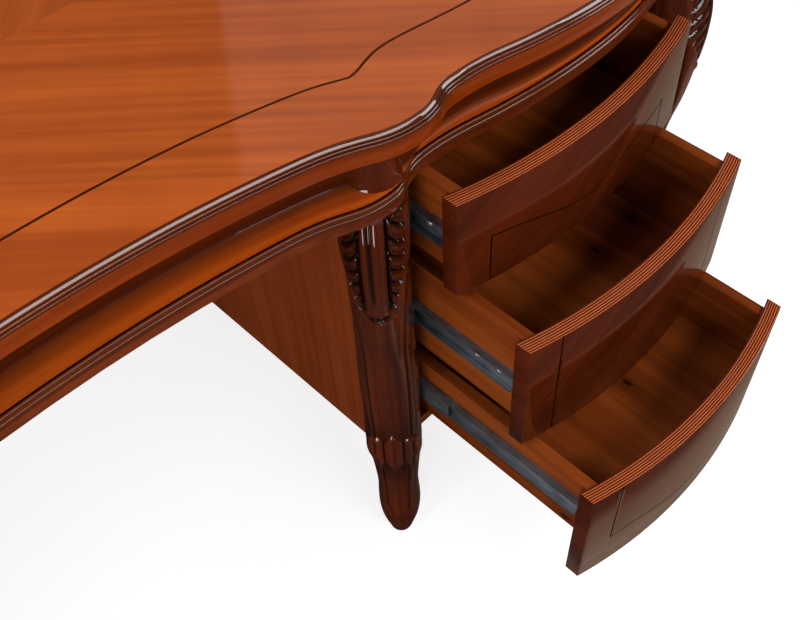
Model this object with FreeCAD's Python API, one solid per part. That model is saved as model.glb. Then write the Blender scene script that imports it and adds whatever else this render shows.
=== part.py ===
import FreeCAD, Part
import math
import os

os.makedirs("parts", exist_ok=True)

# Captain's desk: a serpentine top on two pedestals of three bowed drawers, carried by eight
# carved cabriole legs. Millimetres, +Z up, +X to the sitter's right, -Y towards the sitter.
# The model is drawn about the middle of the desk and written out about the middle of its
# box on the floor, with the right-hand drawers standing open.

V = FreeCAD.Vector
UP = V(0, 0, 1)

# ---------------------------------------------------------------- driving dimensions
TOTAL_HEIGHT = 780.0
TOP_THICKNESS = 30.0
FRIEZE_HEIGHT = 47.0
WAIST_THICKNESS = 26.0
DRAWER_PLANE = 425.0          # mid-depth to the ends of the closed drawer fronts
GLUE = 0.1                    # joint line between pieces of one body
RUNNING_GAP = 0.35            # sliding clearance inside a drawer slide

DRAWER_INNER_X = 442.0        # kneehole-side end of a drawer front
DRAWER_WIDTH = 380.0
DRAWER_BOW = 28.5             # sagitta of a drawer front over its width
FRONT_THICKNESS = 19.0
FRONT_HEIGHTS = (136.0, 180.5, 198.0)
FRONT_GAPS = (1.5, 8.0, 6.5)  # above the top, middle and bottom front
FRONT_REVEAL = 1.0            # side gap between a front and the drawer bay

BOX_DROP = 5.0                # top of a drawer side below the top of its front
BOX_HEIGHTS = (112.0, 150.0, 108.0)
BOX_DEPTH = 450.0
BOX_SIDE = 14.0
BOX_BOTTOM = 6.0
BOX_GROOVE = 6.0              # depth of the groove that holds the bottom
BOX_BOTTOM_LIFT = 12.0        # from a side's lower edge to the bottom

SLIDE_THICKNESS = 12.7
SLIDE_HEIGHT = 35.0
SLIDE_LENGTH = 450.0
SLIDE_WALL = 1.2
SLIDE_SETBACK = 6.0           # slide ends behind the drawer front
MIDDLE_SETBACK = 60.0         # front end of the middle member behind the outer one
SLIDE_DROPS = (65.0, 86.0, 52.0)  # from the top of each front to its slide's centre

PANEL = 18.0                  # carcass board thickness
BATTEN = 19.0                 # packing between a side panel and its slides
BATTEN_HEIGHT = 60.0
CARCASS_SETBACK = 24.0        # carcass front edge behind the drawer plane
MODESTY_Y = 300.0
MODESTY_BOTTOM = 250.0

LEG_INNER_PROUD = 2.0         # inner leg's axis past the kneehole panel's face
LEG_OUTER_PROUD = 20.0        # outer leg's axis past the outer panel's face
LEG_SETBACK = 6.7             # leg axis behind the drawer plane
LEG_SIDES = 10                # facets round a leg, as it comes from the drawknife
LEG_ROUNDNESS = 0.87          # 1 is an ellipse, less is squarer
BOSS_RADIUS = 35.0

MOULDING_WIDTH = 22.0
REED_COUNT = 3
REED_RUN = 8.0
REED_FALL = 9.5
REED_BULGE = 0.9
FASCIA_SETBACK = 2.0

TOP_OVERHANG = 15.5           # outer edge of the top past the frieze's plan line
FRIEZE_SETBACK = 10.0         # frieze face behind its plan line
FRIEZE_FOOT_SETBACK = 5.0     # foot of the frieze's cove behind the bead line
FRIEZE_THICKNESS = 22.0
FRIEZE_TUCK = 12.0            # frieze boards run in behind a boss to this far from its axis
SPLAY_RISE = 9.0              # height of the frieze's sloping foot
FRAME_WIDTH = 60.0            # waist frame's inner edge behind the drawer plane
FRAME_SIDE_WIDTH = 90.0
BEAD_COUNT = 2
BEAD_RISE = 7.0
BEAD_PROUD = 3.0

OPEN_NOW = (69.0, 170.0, 276.0)   # right-hand drawers, as the desk stands

CORNER_OVERHANG = 42.0        # corner of the frieze line past the outer leg's axis

# Plan lines of the front right quarter, through their crests and hollows. Each row is a
# station, the distance in front of the drawer plane, the heading in degrees (0 along +X, 90
# straight back) and the share of the way to the next row that the first of two tangent arcs
# takes; ONE_ARC takes it all, and sets the heading that is left open at one of its ends.
# Stations run 0 to 1 over half the kneehole, 1 to 2 along a drawer, and 2 to 3 to the corner.
# The mitre is between the last row that heads along +X and the first that heads straight back.
ONE_ARC = 1.0
MID_DEPTH = -DRAWER_PLANE
FRIEZE_LINE = (
    (0.0, -45.4, 0, ONE_ARC),
    (0.729, -7.1, None, 0.6),
    (0.972, 27.8, 0, 0.5),
    (1.11, 14.6, 0, 0.3),
    (1.70, 43.2, 0, 0.78),
    (2.22, 25.4, 0, 0.5),
    (2.72, 43.8, 0, 0.5),
    (3.118, 6.0, 90, 0.5),
    (3.02, -70.0, None, ONE_ARC),
    (3.09, MID_DEPTH, 90, None),
)
BEAD_LINE = (
    (0.0, -22.5, 0, ONE_ARC),
    (0.674, 5.7, None, 0.55),
    (0.894, 33.2, 0, 0.45),
    (1.034, 14.4, 0, 0.27),
    (1.666, 39.4, 0, 0.8),
    (2.20, 21.4, 0, 0.5),
    (2.69, 38.2, 0, 0.5),
    (3.068, 3.0, 90, 0.5),
    (2.97, -70.0, None, ONE_ARC),
    (3.04, MID_DEPTH, 90, None),
)

# Leg sections: (share of the leg's height, half width, reach in front, reach behind).
LEG_SECTIONS = (
    (1.0, 36.0, 46.0, 30.0), (0.95, 37.0, 60.0, 31.0), (0.88, 35.5, 64.0, 31.0),
    (0.80, 34.5, 58.5, 31.0), (0.739, 34.0, 52.0, 31.0), (0.67, 34.5, 40.0, 31.0),
    (0.58, 35.0, 32.0, 30.5), (0.40, 34.5, 29.0, 29.5), (0.32, 36.5, 35.0, 29.5),
    (0.265, 33.5, 30.5, 28.0), (0.17, 28.5, 29.0, 25.0), (0.04, 27.0, 37.5, 22.0),
    (0.0, 20.0, 33.0, 17.0),
)

# ---------------------------------------------------------------- heights and planes
TOP_UNDERSIDE = TOTAL_HEIGHT - TOP_THICKNESS
WAIST_TOP = TOP_UNDERSIDE - FRIEZE_HEIGHT
WAIST_UNDERSIDE = WAIST_TOP - WAIST_THICKNESS
DRAWER_OUTER_X = DRAWER_INNER_X + DRAWER_WIDTH
BAY_INNER_X = DRAWER_INNER_X - FRONT_REVEAL
BAY_OUTER_X = DRAWER_OUTER_X + FRONT_REVEAL
PANEL_INNER_X = BAY_INNER_X - BATTEN - PANEL
PANEL_OUTER_X = BAY_OUTER_X + BATTEN + PANEL
CARCASS_Y = DRAWER_PLANE - CARCASS_SETBACK
LEG_Y = DRAWER_PLANE - LEG_SETBACK
LEG_INNER_X = PANEL_INNER_X - LEG_INNER_PROUD
LEG_OUTER_X = PANEL_OUTER_X + LEG_OUTER_PROUD
CORNER_X = LEG_OUTER_X + CORNER_OVERHANG
DRAWER_MIDDLE_X = DRAWER_INNER_X + DRAWER_WIDTH / 2
BOW_RADIUS = (DRAWER_WIDTH ** 2 / 4 + DRAWER_BOW ** 2) / (2 * DRAWER_BOW)
SLIDE_FRONT_Y = -DRAWER_PLANE + FRONT_THICKNESS + SLIDE_SETBACK


def front_tops():
    """Height of the top edge of each drawer front, from the top drawer down."""
    tops = []
    level = WAIST_UNDERSIDE
    for gap, height in zip(FRONT_GAPS, FRONT_HEIGHTS):
        level -= gap
        tops.append(level)
        level -= height
    return tops


FRONT_TOPS = front_tops()
CARCASS_BOTTOM = FRONT_TOPS[-1] - FRONT_HEIGHTS[-1]
LEVELS = ("top", "middle", "bottom")
SIDES = (("right", 1), ("left", -1))


# ---------------------------------------------------------------- helpers
def box(x0, x1, y0, y1, z0, z1):
    """A box between two corners."""
    return Part.makeBox(x1 - x0, y1 - y0, z1 - z0, V(x0, y0, z0))


def mirror_x(shape):
    return shape.mirror(V(0, 0, 0), V(1, 0, 0))


def mirror_y(shape):
    return shape.mirror(V(0, 0, 0), V(0, 1, 0))


def four_corners(shape):
    """The shape in the front right quarter, and its three mirror images."""
    pair = [shape, mirror_x(shape)]
    return pair + [mirror_y(one) for one in pair]


def on_side(shape, sign):
    """The shape as drawn on the right, or mirrored to the left pedestal."""
    return shape if sign > 0 else mirror_x(shape)


def direction(degrees):
    angle = math.radians(degrees)
    return V(math.cos(angle), math.sin(angle), 0)


def left_of(tangent):
    return V(-tangent.y, tangent.x, 0)


def station_x(station):
    """Where a plan station falls across the desk."""
    if station <= 1:
        return DRAWER_INNER_X * station
    if station <= 2:
        return DRAWER_INNER_X + DRAWER_WIDTH * (station - 1)
    return DRAWER_OUTER_X + (CORNER_X - DRAWER_OUTER_X) * (station - 2)


class Bend:
    """One arc of a plan line: it leaves start along tangent and arrives at end."""

    def __init__(self, start, tangent, end):
        self.start = start
        self.tangent = tangent
        self.end = end
        chord = end - start
        across = chord.dot(left_of(tangent))
        self.turn = 2 * math.atan2(across, chord.dot(tangent))
        self.centre = start + left_of(tangent) * (chord.dot(chord) / (2 * across))

    def along(self, share):
        """Point and tangent part of the way round."""
        spin = FreeCAD.Rotation(UP, math.degrees(self.turn * share))
        return self.centre + spin.multVec(self.start - self.centre), spin.multVec(self.tangent)

    def edge(self):
        return Part.Arc(self.start, self.along(0.5)[0], self.end).toShape()

    def inset(self, distance):
        """The parallel arc to the left, which is the inside of an outline."""
        start = self.start + left_of(self.tangent) * distance
        end = self.end + left_of(self.along(1)[1]) * distance
        return Bend(start, self.tangent, end)

    def moved(self, x_sign, y_sign):
        """Turned half way round (-1, -1), or mirrored and run backwards."""
        if x_sign == y_sign:
            return Bend(-self.start, -self.tangent, -self.end)
        matrix = FreeCAD.Matrix()
        matrix.scale(x_sign, y_sign, 1)
        start, tangent, end = (
            matrix.multVec(v) for v in (self.end, -self.along(1)[1], self.start)
        )
        return Bend(start, tangent, end)

    def sweep(self, section):
        """A solid; section(point, outward normal) gives its upright profile."""
        face = Part.Face(section(self.start, -left_of(self.tangent)))
        axis = UP if self.turn > 0 else -UP
        return face.revolve(self.centre, axis, math.degrees(abs(self.turn)))


def two_arcs(start, tangent, end, end_tangent, lead):
    """Two tangent arcs between two points with given headings."""
    chord = end - start
    ratio = lead / (1 - lead)
    a = 2 * ratio * (tangent.dot(end_tangent) - 1)
    b = -2 * chord.dot(tangent * ratio + end_tangent)
    c = chord.dot(chord)
    reach = -c / b if abs(a) < 1e-9 else (-b - math.sqrt(b * b - 4 * a * c)) / (2 * a)
    first = start + tangent * reach * ratio
    second = end - end_tangent * reach
    joint = first + (second - first) * lead
    return [Bend(start, tangent, joint), Bend(joint, (second - first).normalize(), end)]


def joined(run, section):
    """One length of moulding: the sweeps of a run's arcs, made one solid."""
    spans = [bend.sweep(section) for bend in run]
    return spans[0].multiFuse(spans[1:]) if len(spans) > 1 else spans[0]


class Outline:
    """A closed plan line, symmetrical about both axes, in four runs that meet at mitres.

    front runs from the left mitre to the right one, right from the front mitre to the back.
    """

    def __init__(self, front, right):
        self.front = front
        self.right = right

    @classmethod
    def drawn(cls, rows):
        """An outline from the rows of its front right quarter."""
        points = [V(station_x(row[0]), -DRAWER_PLANE - row[1], 0) for row in rows]
        tangents = [None if row[2] is None else direction(row[2]) for row in rows]
        for index, tangent in enumerate(tangents):
            if tangent is None:
                other = index - 1 if rows[index - 1][3] == ONE_ARC else index + 1
                chord = (points[index] - points[other]).normalize()
                tangents[index] = chord * (2 * chord.dot(tangents[other])) - tangents[other]
        bends = []
        for index, row in enumerate(rows[:-1]):
            start, end = points[index:index + 2]
            tangent, end_tangent = tangents[index:index + 2]
            if row[3] == ONE_ARC:
                bends.append(Bend(start, tangent, end))
            else:
                bends += two_arcs(start, tangent, end, end_tangent, row[3])
            if row[2] == 0:
                mitre = len(bends) - 1
        half, side = bends[:mitre], bends[mitre:]
        front = [bend.moved(-1, 1) for bend in reversed(half)] + half
        right = side + [bend.moved(1, -1) for bend in reversed(side)]
        return cls(front, right)

    def inset(self, distance):
        """The same outline moved inwards by a distance."""
        runs = ([bend.inset(distance) for bend in run] for run in (self.front, self.right))
        return Outline(*runs)

    def bends(self):
        half = self.front + self.right
        return half + [bend.moved(-1, -1) for bend in half]

    def wire(self):
        return Part.Wire([bend.edge() for bend in self.bends()])

    def slab(self, z0, z1):
        """The solid inside the outline between two heights."""
        return Part.Face(self.wire()).extrude(UP * (z1 - z0)).translated(UP * z0)

    def front_lengths(self):
        """The front run in four, jointed in the middle and where its hollow ends."""
        middle = len(self.front) // 2
        left, right = self.front[:middle], self.front[middle:]
        return [left[:-1], left[-1:], right[:1], right[1:]]

    def ring(self, section):
        """Lengths of moulding round the outline, mitred where its runs meet."""
        front = [joined(run, section) for run in self.front_lengths()]
        right = joined(self.right, section)
        return front + [mirror_y(one) for one in front] + [right, mirror_x(right)]


FRIEZE = Outline.drawn(FRIEZE_LINE)
TOP = FRIEZE.inset(-TOP_OVERHANG)
BEAD = Outline.drawn(BEAD_LINE)


def ridges(start, end, count, swell):
    """Points of a run of equal flat-sided reeds, each crest standing out by swell."""
    step = (end - start) / count
    points = [start]
    for index in range(count):
        low = start + step * index
        points += [low + step / 2 + swell, low + step]
    return points


def polyline(*points):
    return [Part.LineSegment(a, b).toShape() for a, b in zip(points, points[1:])]


# ---------------------------------------------------------------- the top and its edge
def edge_profile(point, normal):
    """Reeded edge: a run of reeds falling outwards over a plain fascia."""
    def at(out, z):
        return point + normal * out + UP * z

    start, end = at(-REED_RUN, TOTAL_HEIGHT), at(0, TOTAL_HEIGHT - REED_FALL)
    swell = (normal * REED_FALL + UP * REED_RUN).normalize() * REED_BULGE
    return Part.makePolygon(ridges(start, end, REED_COUNT, swell) + [
        at(-FASCIA_SETBACK, TOTAL_HEIGHT - REED_FALL),
        at(-FASCIA_SETBACK, TOP_UNDERSIDE),
        at(-MOULDING_WIDTH, TOP_UNDERSIDE),
        at(-MOULDING_WIDTH, TOTAL_HEIGHT),
        start,
    ])


def top_panel():
    return TOP.inset(MOULDING_WIDTH + GLUE).slab(TOP_UNDERSIDE, TOTAL_HEIGHT)


# ---------------------------------------------------------------- frieze, waist and bead
def coped(board, columns):
    """A board cut away round columns, without the slivers left in front of them."""
    for column in columns:
        if board.BoundBox.intersect(column.BoundBox):
            board = board.cut(column)
    return max(board.Solids, key=lambda solid: solid.Volume)


def over_legs(radius, height):
    """Eight columns, one standing on the waist over each leg."""
    placed = []
    for x in (LEG_INNER_X, LEG_OUTER_X):
        placed += four_corners(Part.makeCylinder(radius, height, V(x, -LEG_Y, WAIST_TOP)))
    return placed


def frieze_ring():
    """Upright under the top, with a sloping foot that reaches out to the bead."""
    upper = FRIEZE.inset(FRIEZE_SETBACK)
    foot = BEAD.inset(FRIEZE_FOOT_SETBACK).wire().translated(UP * WAIST_TOP)
    splay_top = WAIST_TOP + SPLAY_RISE
    body = Part.makeLoft([foot, upper.wire().translated(UP * splay_top)], True, True)
    body = body.fuse(upper.slab(splay_top, TOP_UNDERSIDE))
    return body.cut(FRIEZE.inset(FRIEZE_SETBACK + FRIEZE_THICKNESS).slab(WAIST_TOP, TOP_UNDERSIDE))


def friezes():
    """Front, back, left and right frieze boards, coped round the bosses."""
    ring = frieze_ring()
    sockets = over_legs(BOSS_RADIUS + GLUE, FRIEZE_HEIGHT)
    inner, outer = LEG_INNER_X - FRIEZE_TUCK, LEG_OUTER_X - FRIEZE_TUCK
    side_end = LEG_Y - FRIEZE_TUCK
    reach = 2 * outer
    bays = (
        box(-inner, inner, -reach, 0, 0, TOTAL_HEIGHT),
        box(LEG_INNER_X + FRIEZE_TUCK, outer, -reach, 0, 0, TOTAL_HEIGHT),
        box(outer - FRIEZE_THICKNESS, reach, -side_end, side_end, 0, TOTAL_HEIGHT),
    )
    kneehole, drawers, side = (coped(ring.common(bay), sockets) for bay in bays)
    front = [kneehole, drawers, mirror_x(drawers)]
    return front, [mirror_y(one) for one in front], [mirror_x(side)], [side]


def waist_frame():
    """Boards under the frieze, mitred at the corners; the bead runs round their outer edge."""
    inner_x = station_x(BEAD_LINE[-1][0]) - FRAME_SIDE_WIDTH
    inner_y = DRAWER_PLANE - FRAME_WIDTH
    edge = BEAD.inset(BEAD_PROUD + GLUE)

    def board(run, a, b):
        rest = polyline(run[-1].end, a, b, run[0].start)
        face = Part.Face(Part.Wire([bend.edge() for bend in run] + rest))
        return face.extrude(UP * WAIST_THICKNESS).translated(UP * WAIST_UNDERSIDE)

    front = []
    for run in edge.front_lengths():
        near, far = (V(min(max(x, -inner_x), inner_x), -inner_y, 0)
                     for x in (run[-1].end.x, run[0].start.x))
        front.append(board(run, near, far))
    right = board(edge.right, V(inner_x, inner_y, 0), V(inner_x, -inner_y, 0))
    return front + [mirror_y(one) for one in front] + [right, mirror_x(right)]


def bead_profile(point, normal):
    def at(out, z):
        return point + normal * out + UP * z

    crease = -BEAD_PROUD / 2
    low = WAIST_TOP - BEAD_COUNT * BEAD_RISE
    start, end = at(crease, WAIST_TOP), at(crease, low)
    return Part.makePolygon(ridges(start, end, BEAD_COUNT, normal * BEAD_PROUD / 2) + [
        at(-BEAD_PROUD, low),
        at(-BEAD_PROUD, WAIST_TOP),
        start,
    ])


# ---------------------------------------------------------------- legs
def leg_section(share, half_width, reach, behind):
    """Many-sided section, squarer than an ellipse; +X is the way the leg faces."""
    points = []
    for index in range(LEG_SIDES):
        angle = 2 * math.pi * index / LEG_SIDES
        forward, side = math.cos(angle), math.sin(angle)
        length = reach if forward > 0 else behind
        x = math.copysign(length * abs(forward) ** LEG_ROUNDNESS, forward)
        y = math.copysign(half_width * abs(side) ** LEG_ROUNDNESS, side)
        points.append(V(x, y, WAIST_UNDERSIDE * share))
    return Part.makePolygon(points + points[:1])


def cabriole():
    """A leg about the vertical axis, facing +X."""
    return Part.makeLoft([leg_section(*row) for row in LEG_SECTIONS], True, True)


def legs():
    """Right-hand front legs, inner and outer, notched over the carcass corners."""
    carcass = box(
        PANEL_INNER_X - GLUE, PANEL_OUTER_X + GLUE, -CARCASS_Y - GLUE, CARCASS_Y,
        CARCASS_BOTTOM - GLUE, WAIST_UNDERSIDE + 1,
    )
    placed = {}
    for name, x, turn in (("inner", LEG_INNER_X, -135), ("outer", LEG_OUTER_X, -45)):
        leg = cabriole()
        leg.rotate(V(0, 0, 0), UP, turn)
        leg.translate(V(x, -LEG_Y, 0))
        placed[name] = leg.cut(carcass)
    return placed


# ---------------------------------------------------------------- pedestals
def outer_panel():
    x0, x1 = PANEL_OUTER_X - PANEL, PANEL_OUTER_X
    return box(x0, x1, -CARCASS_Y, CARCASS_Y, CARCASS_BOTTOM, WAIST_UNDERSIDE)


def kneehole_panel():
    """It reaches up to the top, notched at its upper corners for the waist frame."""
    x0, x1 = PANEL_INNER_X, PANEL_INNER_X + PANEL
    inner_y = DRAWER_PLANE - FRAME_WIDTH - GLUE
    lower = box(x0, x1, -CARCASS_Y, CARCASS_Y, CARCASS_BOTTOM, WAIST_UNDERSIDE)
    upper = box(x0, x1, -inner_y, inner_y, WAIST_UNDERSIDE, TOP_UNDERSIDE)
    return lower.fuse(upper).removeSplitter()


def pedestal_bottom():
    x0, x1 = PANEL_INNER_X + PANEL, PANEL_OUTER_X - PANEL
    return box(x0, x1, -CARCASS_Y, CARCASS_Y, CARCASS_BOTTOM, CARCASS_BOTTOM + PANEL)


def pedestal_back():
    x0, x1 = PANEL_INNER_X + PANEL, PANEL_OUTER_X - PANEL
    z0 = CARCASS_BOTTOM + PANEL
    return box(x0, x1, CARCASS_Y - PANEL, CARCASS_Y, z0, WAIST_UNDERSIDE)


def slide_heights():
    return [top - drop for top, drop in zip(FRONT_TOPS, SLIDE_DROPS)]


def slide_battens():
    """Packing boards on both walls of the drawer bay, one behind each slide."""
    battens = []
    for z in slide_heights():
        z0, z1 = z - BATTEN_HEIGHT / 2, z + BATTEN_HEIGHT / 2
        y1 = CARCASS_Y - PANEL
        battens.append(box(BAY_INNER_X - BATTEN, BAY_INNER_X, -CARCASS_Y, y1, z0, z1))
        battens.append(box(BAY_OUTER_X, BAY_OUTER_X + BATTEN, -CARCASS_Y, y1, z0, z1))
    return battens


def modesty_panel():
    inner = PANEL_INNER_X
    return box(
        -inner, inner, MODESTY_Y, MODESTY_Y + PANEL, MODESTY_BOTTOM, TOP_UNDERSIDE
    )


# ---------------------------------------------------------------- drawer slides
def channel(web_x, flange_x, half_height, y0, y1):
    """A C channel along Y: its web stands at web_x and its flanges run to flange_x."""
    wall = SLIDE_WALL if flange_x > web_x else -SLIDE_WALL
    x0, x1 = sorted((web_x, flange_x))
    block = box(x0, x1, y0, y1, -half_height, half_height)
    inside = half_height - SLIDE_WALL
    hollow0, hollow1 = sorted((web_x + wall, flange_x + wall))
    return block.cut(box(hollow0, hollow1, y0 - 1, y1 + 1, -inside, inside))


def slide_pair(make):
    """One slide member at both walls of the bay, drawn from the kneehole wall outwards."""
    near = make()
    far = near.mirror(V(0, 0, 0), V(1, 0, 0))
    near.translate(V(BAY_INNER_X, 0, 0))
    far.translate(V(BAY_OUTER_X, 0, 0))
    return [near, far]


OUTER_HALF = SLIDE_HEIGHT / 2
MIDDLE_HALF = OUTER_HALF - SLIDE_WALL - RUNNING_GAP
INNER_HALF = MIDDLE_HALF - SLIDE_WALL - RUNNING_GAP
OUTER_LIP = SLIDE_THICKNESS - SLIDE_WALL - 2 * RUNNING_GAP
MIDDLE_LIP = OUTER_LIP - SLIDE_WALL
MIDDLE_WEB = SLIDE_WALL + 2 * RUNNING_GAP
INNER_LIP = MIDDLE_WEB + SLIDE_WALL + 2 * RUNNING_GAP


def outer_members(z):
    """Fixed members, against the battens."""
    y0, y1 = SLIDE_FRONT_Y, SLIDE_FRONT_Y + SLIDE_LENGTH
    return [
        s.translated(UP * z)
        for s in slide_pair(lambda: channel(0.0, OUTER_LIP, OUTER_HALF, y0, y1))
    ]


def middle_members(z):
    """Middle members, closed position."""
    y0, y1 = SLIDE_FRONT_Y + MIDDLE_SETBACK, SLIDE_FRONT_Y + SLIDE_LENGTH
    return [
        s.translated(UP * z)
        for s in slide_pair(lambda: channel(MIDDLE_WEB, MIDDLE_LIP, MIDDLE_HALF, y0, y1))
    ]


def inner_members(z):
    """Drawer members, closed position, against the drawer sides."""
    y0, y1 = SLIDE_FRONT_Y, SLIDE_FRONT_Y + SLIDE_LENGTH
    return [
        s.translated(UP * z)
        for s in slide_pair(lambda: channel(SLIDE_THICKNESS, INNER_LIP, INNER_HALF, y0, y1))
    ]


# ---------------------------------------------------------------- drawers
BOW_CENTRE = V(DRAWER_MIDDLE_X, -DRAWER_PLANE - DRAWER_BOW + BOW_RADIUS, 0)


def bow_point(x, radius):
    offset = x - DRAWER_MIDDLE_X
    return V(x, BOW_CENTRE.y - math.sqrt(radius ** 2 - offset ** 2), 0)


def drawer_front(z0, z1):
    """A bent laminated front: two concentric arcs between upright ends."""
    x0, x1 = DRAWER_INNER_X, DRAWER_INNER_X + DRAWER_WIDTH
    inner = BOW_RADIUS - FRONT_THICKNESS
    a0, am, a1 = (bow_point(x, BOW_RADIUS) for x in (x0, DRAWER_MIDDLE_X, x1))
    b0, bm, b1 = (bow_point(x, inner) for x in (x0, DRAWER_MIDDLE_X, x1))
    edges = [
        Part.Arc(a0, am, a1).toShape(),
        Part.LineSegment(a1, b1).toShape(),
        Part.Arc(b1, bm, b0).toShape(),
        Part.LineSegment(b0, a0).toShape(),
    ]
    front = Part.Face(Part.Wire(edges)).extrude(UP * (z1 - z0))
    front.translate(UP * z0)
    return front


def behind_front(shape):
    """The part of a drawer piece that lies behind the front's inner face."""
    reach = BOW_RADIUS - FRONT_THICKNESS
    drum = Part.makeCylinder(reach, TOTAL_HEIGHT, V(BOW_CENTRE.x, BOW_CENTRE.y, 0))
    return shape.common(drum)


def drawer_box(z_top, height):
    """Two sides and a back, grooved for the bottom, and the bottom itself."""
    outer0 = BAY_INNER_X + SLIDE_THICKNESS
    outer1 = BAY_OUTER_X - SLIDE_THICKNESS
    front_y = -DRAWER_PLANE - DRAWER_BOW
    back_y = -DRAWER_PLANE + FRONT_THICKNESS + BOX_DEPTH
    z0 = z_top - height
    inner0, inner1 = outer0 + BOX_SIDE, outer1 - BOX_SIDE
    floor0 = z0 + BOX_BOTTOM_LIFT
    bottom = box(
        inner0 - BOX_GROOVE, inner1 + BOX_GROOVE, front_y, back_y - BOX_SIDE + BOX_GROOVE,
        floor0, floor0 + BOX_BOTTOM,
    )
    boards = [
        box(outer0, inner0, front_y, back_y, z0, z_top),
        box(inner1, outer1, front_y, back_y, z0, z_top),
        box(inner0, inner1, back_y - BOX_SIDE, back_y, z0, z_top),
    ]
    boards = [behind_front(board.cut(bottom)) for board in boards]
    return boards, [behind_front(bottom)]


# ---------------------------------------------------------------- writing out
LEGS = legs()
REACH_FRONT = DRAWER_PLANE + DRAWER_BOW + max(OPEN_NOW)
REACH_BACK = DRAWER_PLANE + max(row[1] for row in FRIEZE_LINE) + TOP_OVERHANG
SHIFT = V(0, (REACH_FRONT - REACH_BACK) / 2, 0)


def write(name, solids):
    """One STEP file, moved so that the origin is under the middle of the whole box."""
    placed = [one.translated(SHIFT) for one in solids]
    for one in placed:
        if not one.isValid() or len(one.Solids) != 1 or one.Volume <= 0:
            print("check", name, one.isValid(), len(one.Solids), round(one.Volume, 1))
    shape = placed[0].Solids[0] if len(placed) == 1 else Part.makeCompound(
        [one.Solids[0] for one in placed]
    )
    shape.exportStep(os.path.join("parts", name + ".step"))


def write_structure():
    write("top_panel", [top_panel()])
    write("top_edge_moulding", TOP.ring(edge_profile))
    front, back, left, right = friezes()
    write("frieze_front", front)
    write("frieze_back", back)
    write("frieze_left", left)
    write("frieze_right", right)
    write("waist_frame", waist_frame())
    write("waist_bead", BEAD.ring(bead_profile))
    write("corner_bosses", over_legs(BOSS_RADIUS, FRIEZE_HEIGHT - GLUE))
    write("modesty_panel", [modesty_panel()])


def write_legs():
    for name, leg in LEGS.items():
        copies = zip(("right_front", "left_front", "right_rear", "left_rear"), four_corners(leg))
        for place, copy in copies:
            write("leg_" + place + "_" + name, [copy])


def write_pedestals():
    battens = []
    members = []
    for side, sign in SIDES:
        write(side + "_kneehole_panel", [on_side(kneehole_panel(), sign)])
        write(side + "_outer_panel", [on_side(outer_panel(), sign)])
        write(side + "_pedestal_bottom", [on_side(pedestal_bottom(), sign)])
        write(side + "_pedestal_back", [on_side(pedestal_back(), sign)])
        battens += [on_side(one, sign) for one in slide_battens()]
        for z in slide_heights():
            members += [on_side(one, sign) for one in outer_members(z)]
    write("slide_battens", battens)
    write("slide_outer_members", members)


def write_drawers():
    for side, sign in SIDES:
        opened = OPEN_NOW if sign > 0 else (0.0, 0.0, 0.0)
        for index, level in enumerate(LEVELS):
            name = side + "_" + level
            out = V(0, -opened[index], 0)
            top = FRONT_TOPS[index]
            slide_z = slide_heights()[index]
            boards, bottom = drawer_box(top - BOX_DROP, BOX_HEIGHTS[index])
            pieces = {
                "_drawer_front": ([drawer_front(top - FRONT_HEIGHTS[index], top)], out),
                "_drawer_box": (boards, out),
                "_drawer_bottom": (bottom, out),
                "_drawer_runners": (inner_members(slide_z), out),
                "_slide_middles": (middle_members(slide_z), out / 2),
            }
            for suffix, (solids, move) in pieces.items():
                write(name + suffix, [on_side(s.translated(move), sign) for s in solids])


write_structure()
write_legs()
write_pedestals()
write_drawers()
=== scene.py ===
"""Dresses the captain's desk: veneered serpentine top, reeded mouldings, carved legs, bowed drawers."""

import logging
import math
from dataclasses import dataclass
from enum import Enum
from typing import Optional, Sequence, Union

import bmesh
import bpy
import numpy as np
from mathutils import Matrix, Vector

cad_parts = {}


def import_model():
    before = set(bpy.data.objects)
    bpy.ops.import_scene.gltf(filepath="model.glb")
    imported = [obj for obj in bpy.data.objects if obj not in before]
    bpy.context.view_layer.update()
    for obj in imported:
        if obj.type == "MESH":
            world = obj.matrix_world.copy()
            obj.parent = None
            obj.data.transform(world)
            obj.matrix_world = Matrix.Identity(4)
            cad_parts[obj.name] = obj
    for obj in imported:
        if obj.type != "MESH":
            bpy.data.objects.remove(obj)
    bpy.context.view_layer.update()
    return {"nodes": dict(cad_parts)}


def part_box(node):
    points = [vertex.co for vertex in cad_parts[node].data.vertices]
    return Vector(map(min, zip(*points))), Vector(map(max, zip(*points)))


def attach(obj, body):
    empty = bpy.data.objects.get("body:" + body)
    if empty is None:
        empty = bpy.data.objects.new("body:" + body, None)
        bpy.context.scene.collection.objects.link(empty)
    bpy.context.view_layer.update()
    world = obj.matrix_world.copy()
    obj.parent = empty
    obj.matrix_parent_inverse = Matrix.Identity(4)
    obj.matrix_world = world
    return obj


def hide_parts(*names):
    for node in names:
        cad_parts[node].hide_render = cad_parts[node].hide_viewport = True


LOG = logging.getLogger("captains_desk")
DESK = "desk"
SIDES = (("right", 1.0), ("left", -1.0))
LEVELS = ("top", "middle", "bottom")

# Driving heights and lines of the desk, in metres.
TOP_FACE = 0.780
TOP_UNDERSIDE = 0.750
WAIST_TOP = 0.703
MIDDLE_Y = 0.1226
DRAWER_PLANE = 0.425
TOP_OVERHANG = 0.0155
MOULDING_WIDTH = 0.0221

DIAGONAL = 1 / math.sqrt(2)
WHITE = (1.0, 1.0, 1.0)
BLACK = (0.0, 0.0, 0.0)

# Points and faces nearer or narrower than these are merged, in metres.
DOUBLE_DISTANCE = 1e-6
SLIVER_DISTANCE = 1e-7
# Two headings that differ by less than this are alike.
ALIKE = 1e-9

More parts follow.
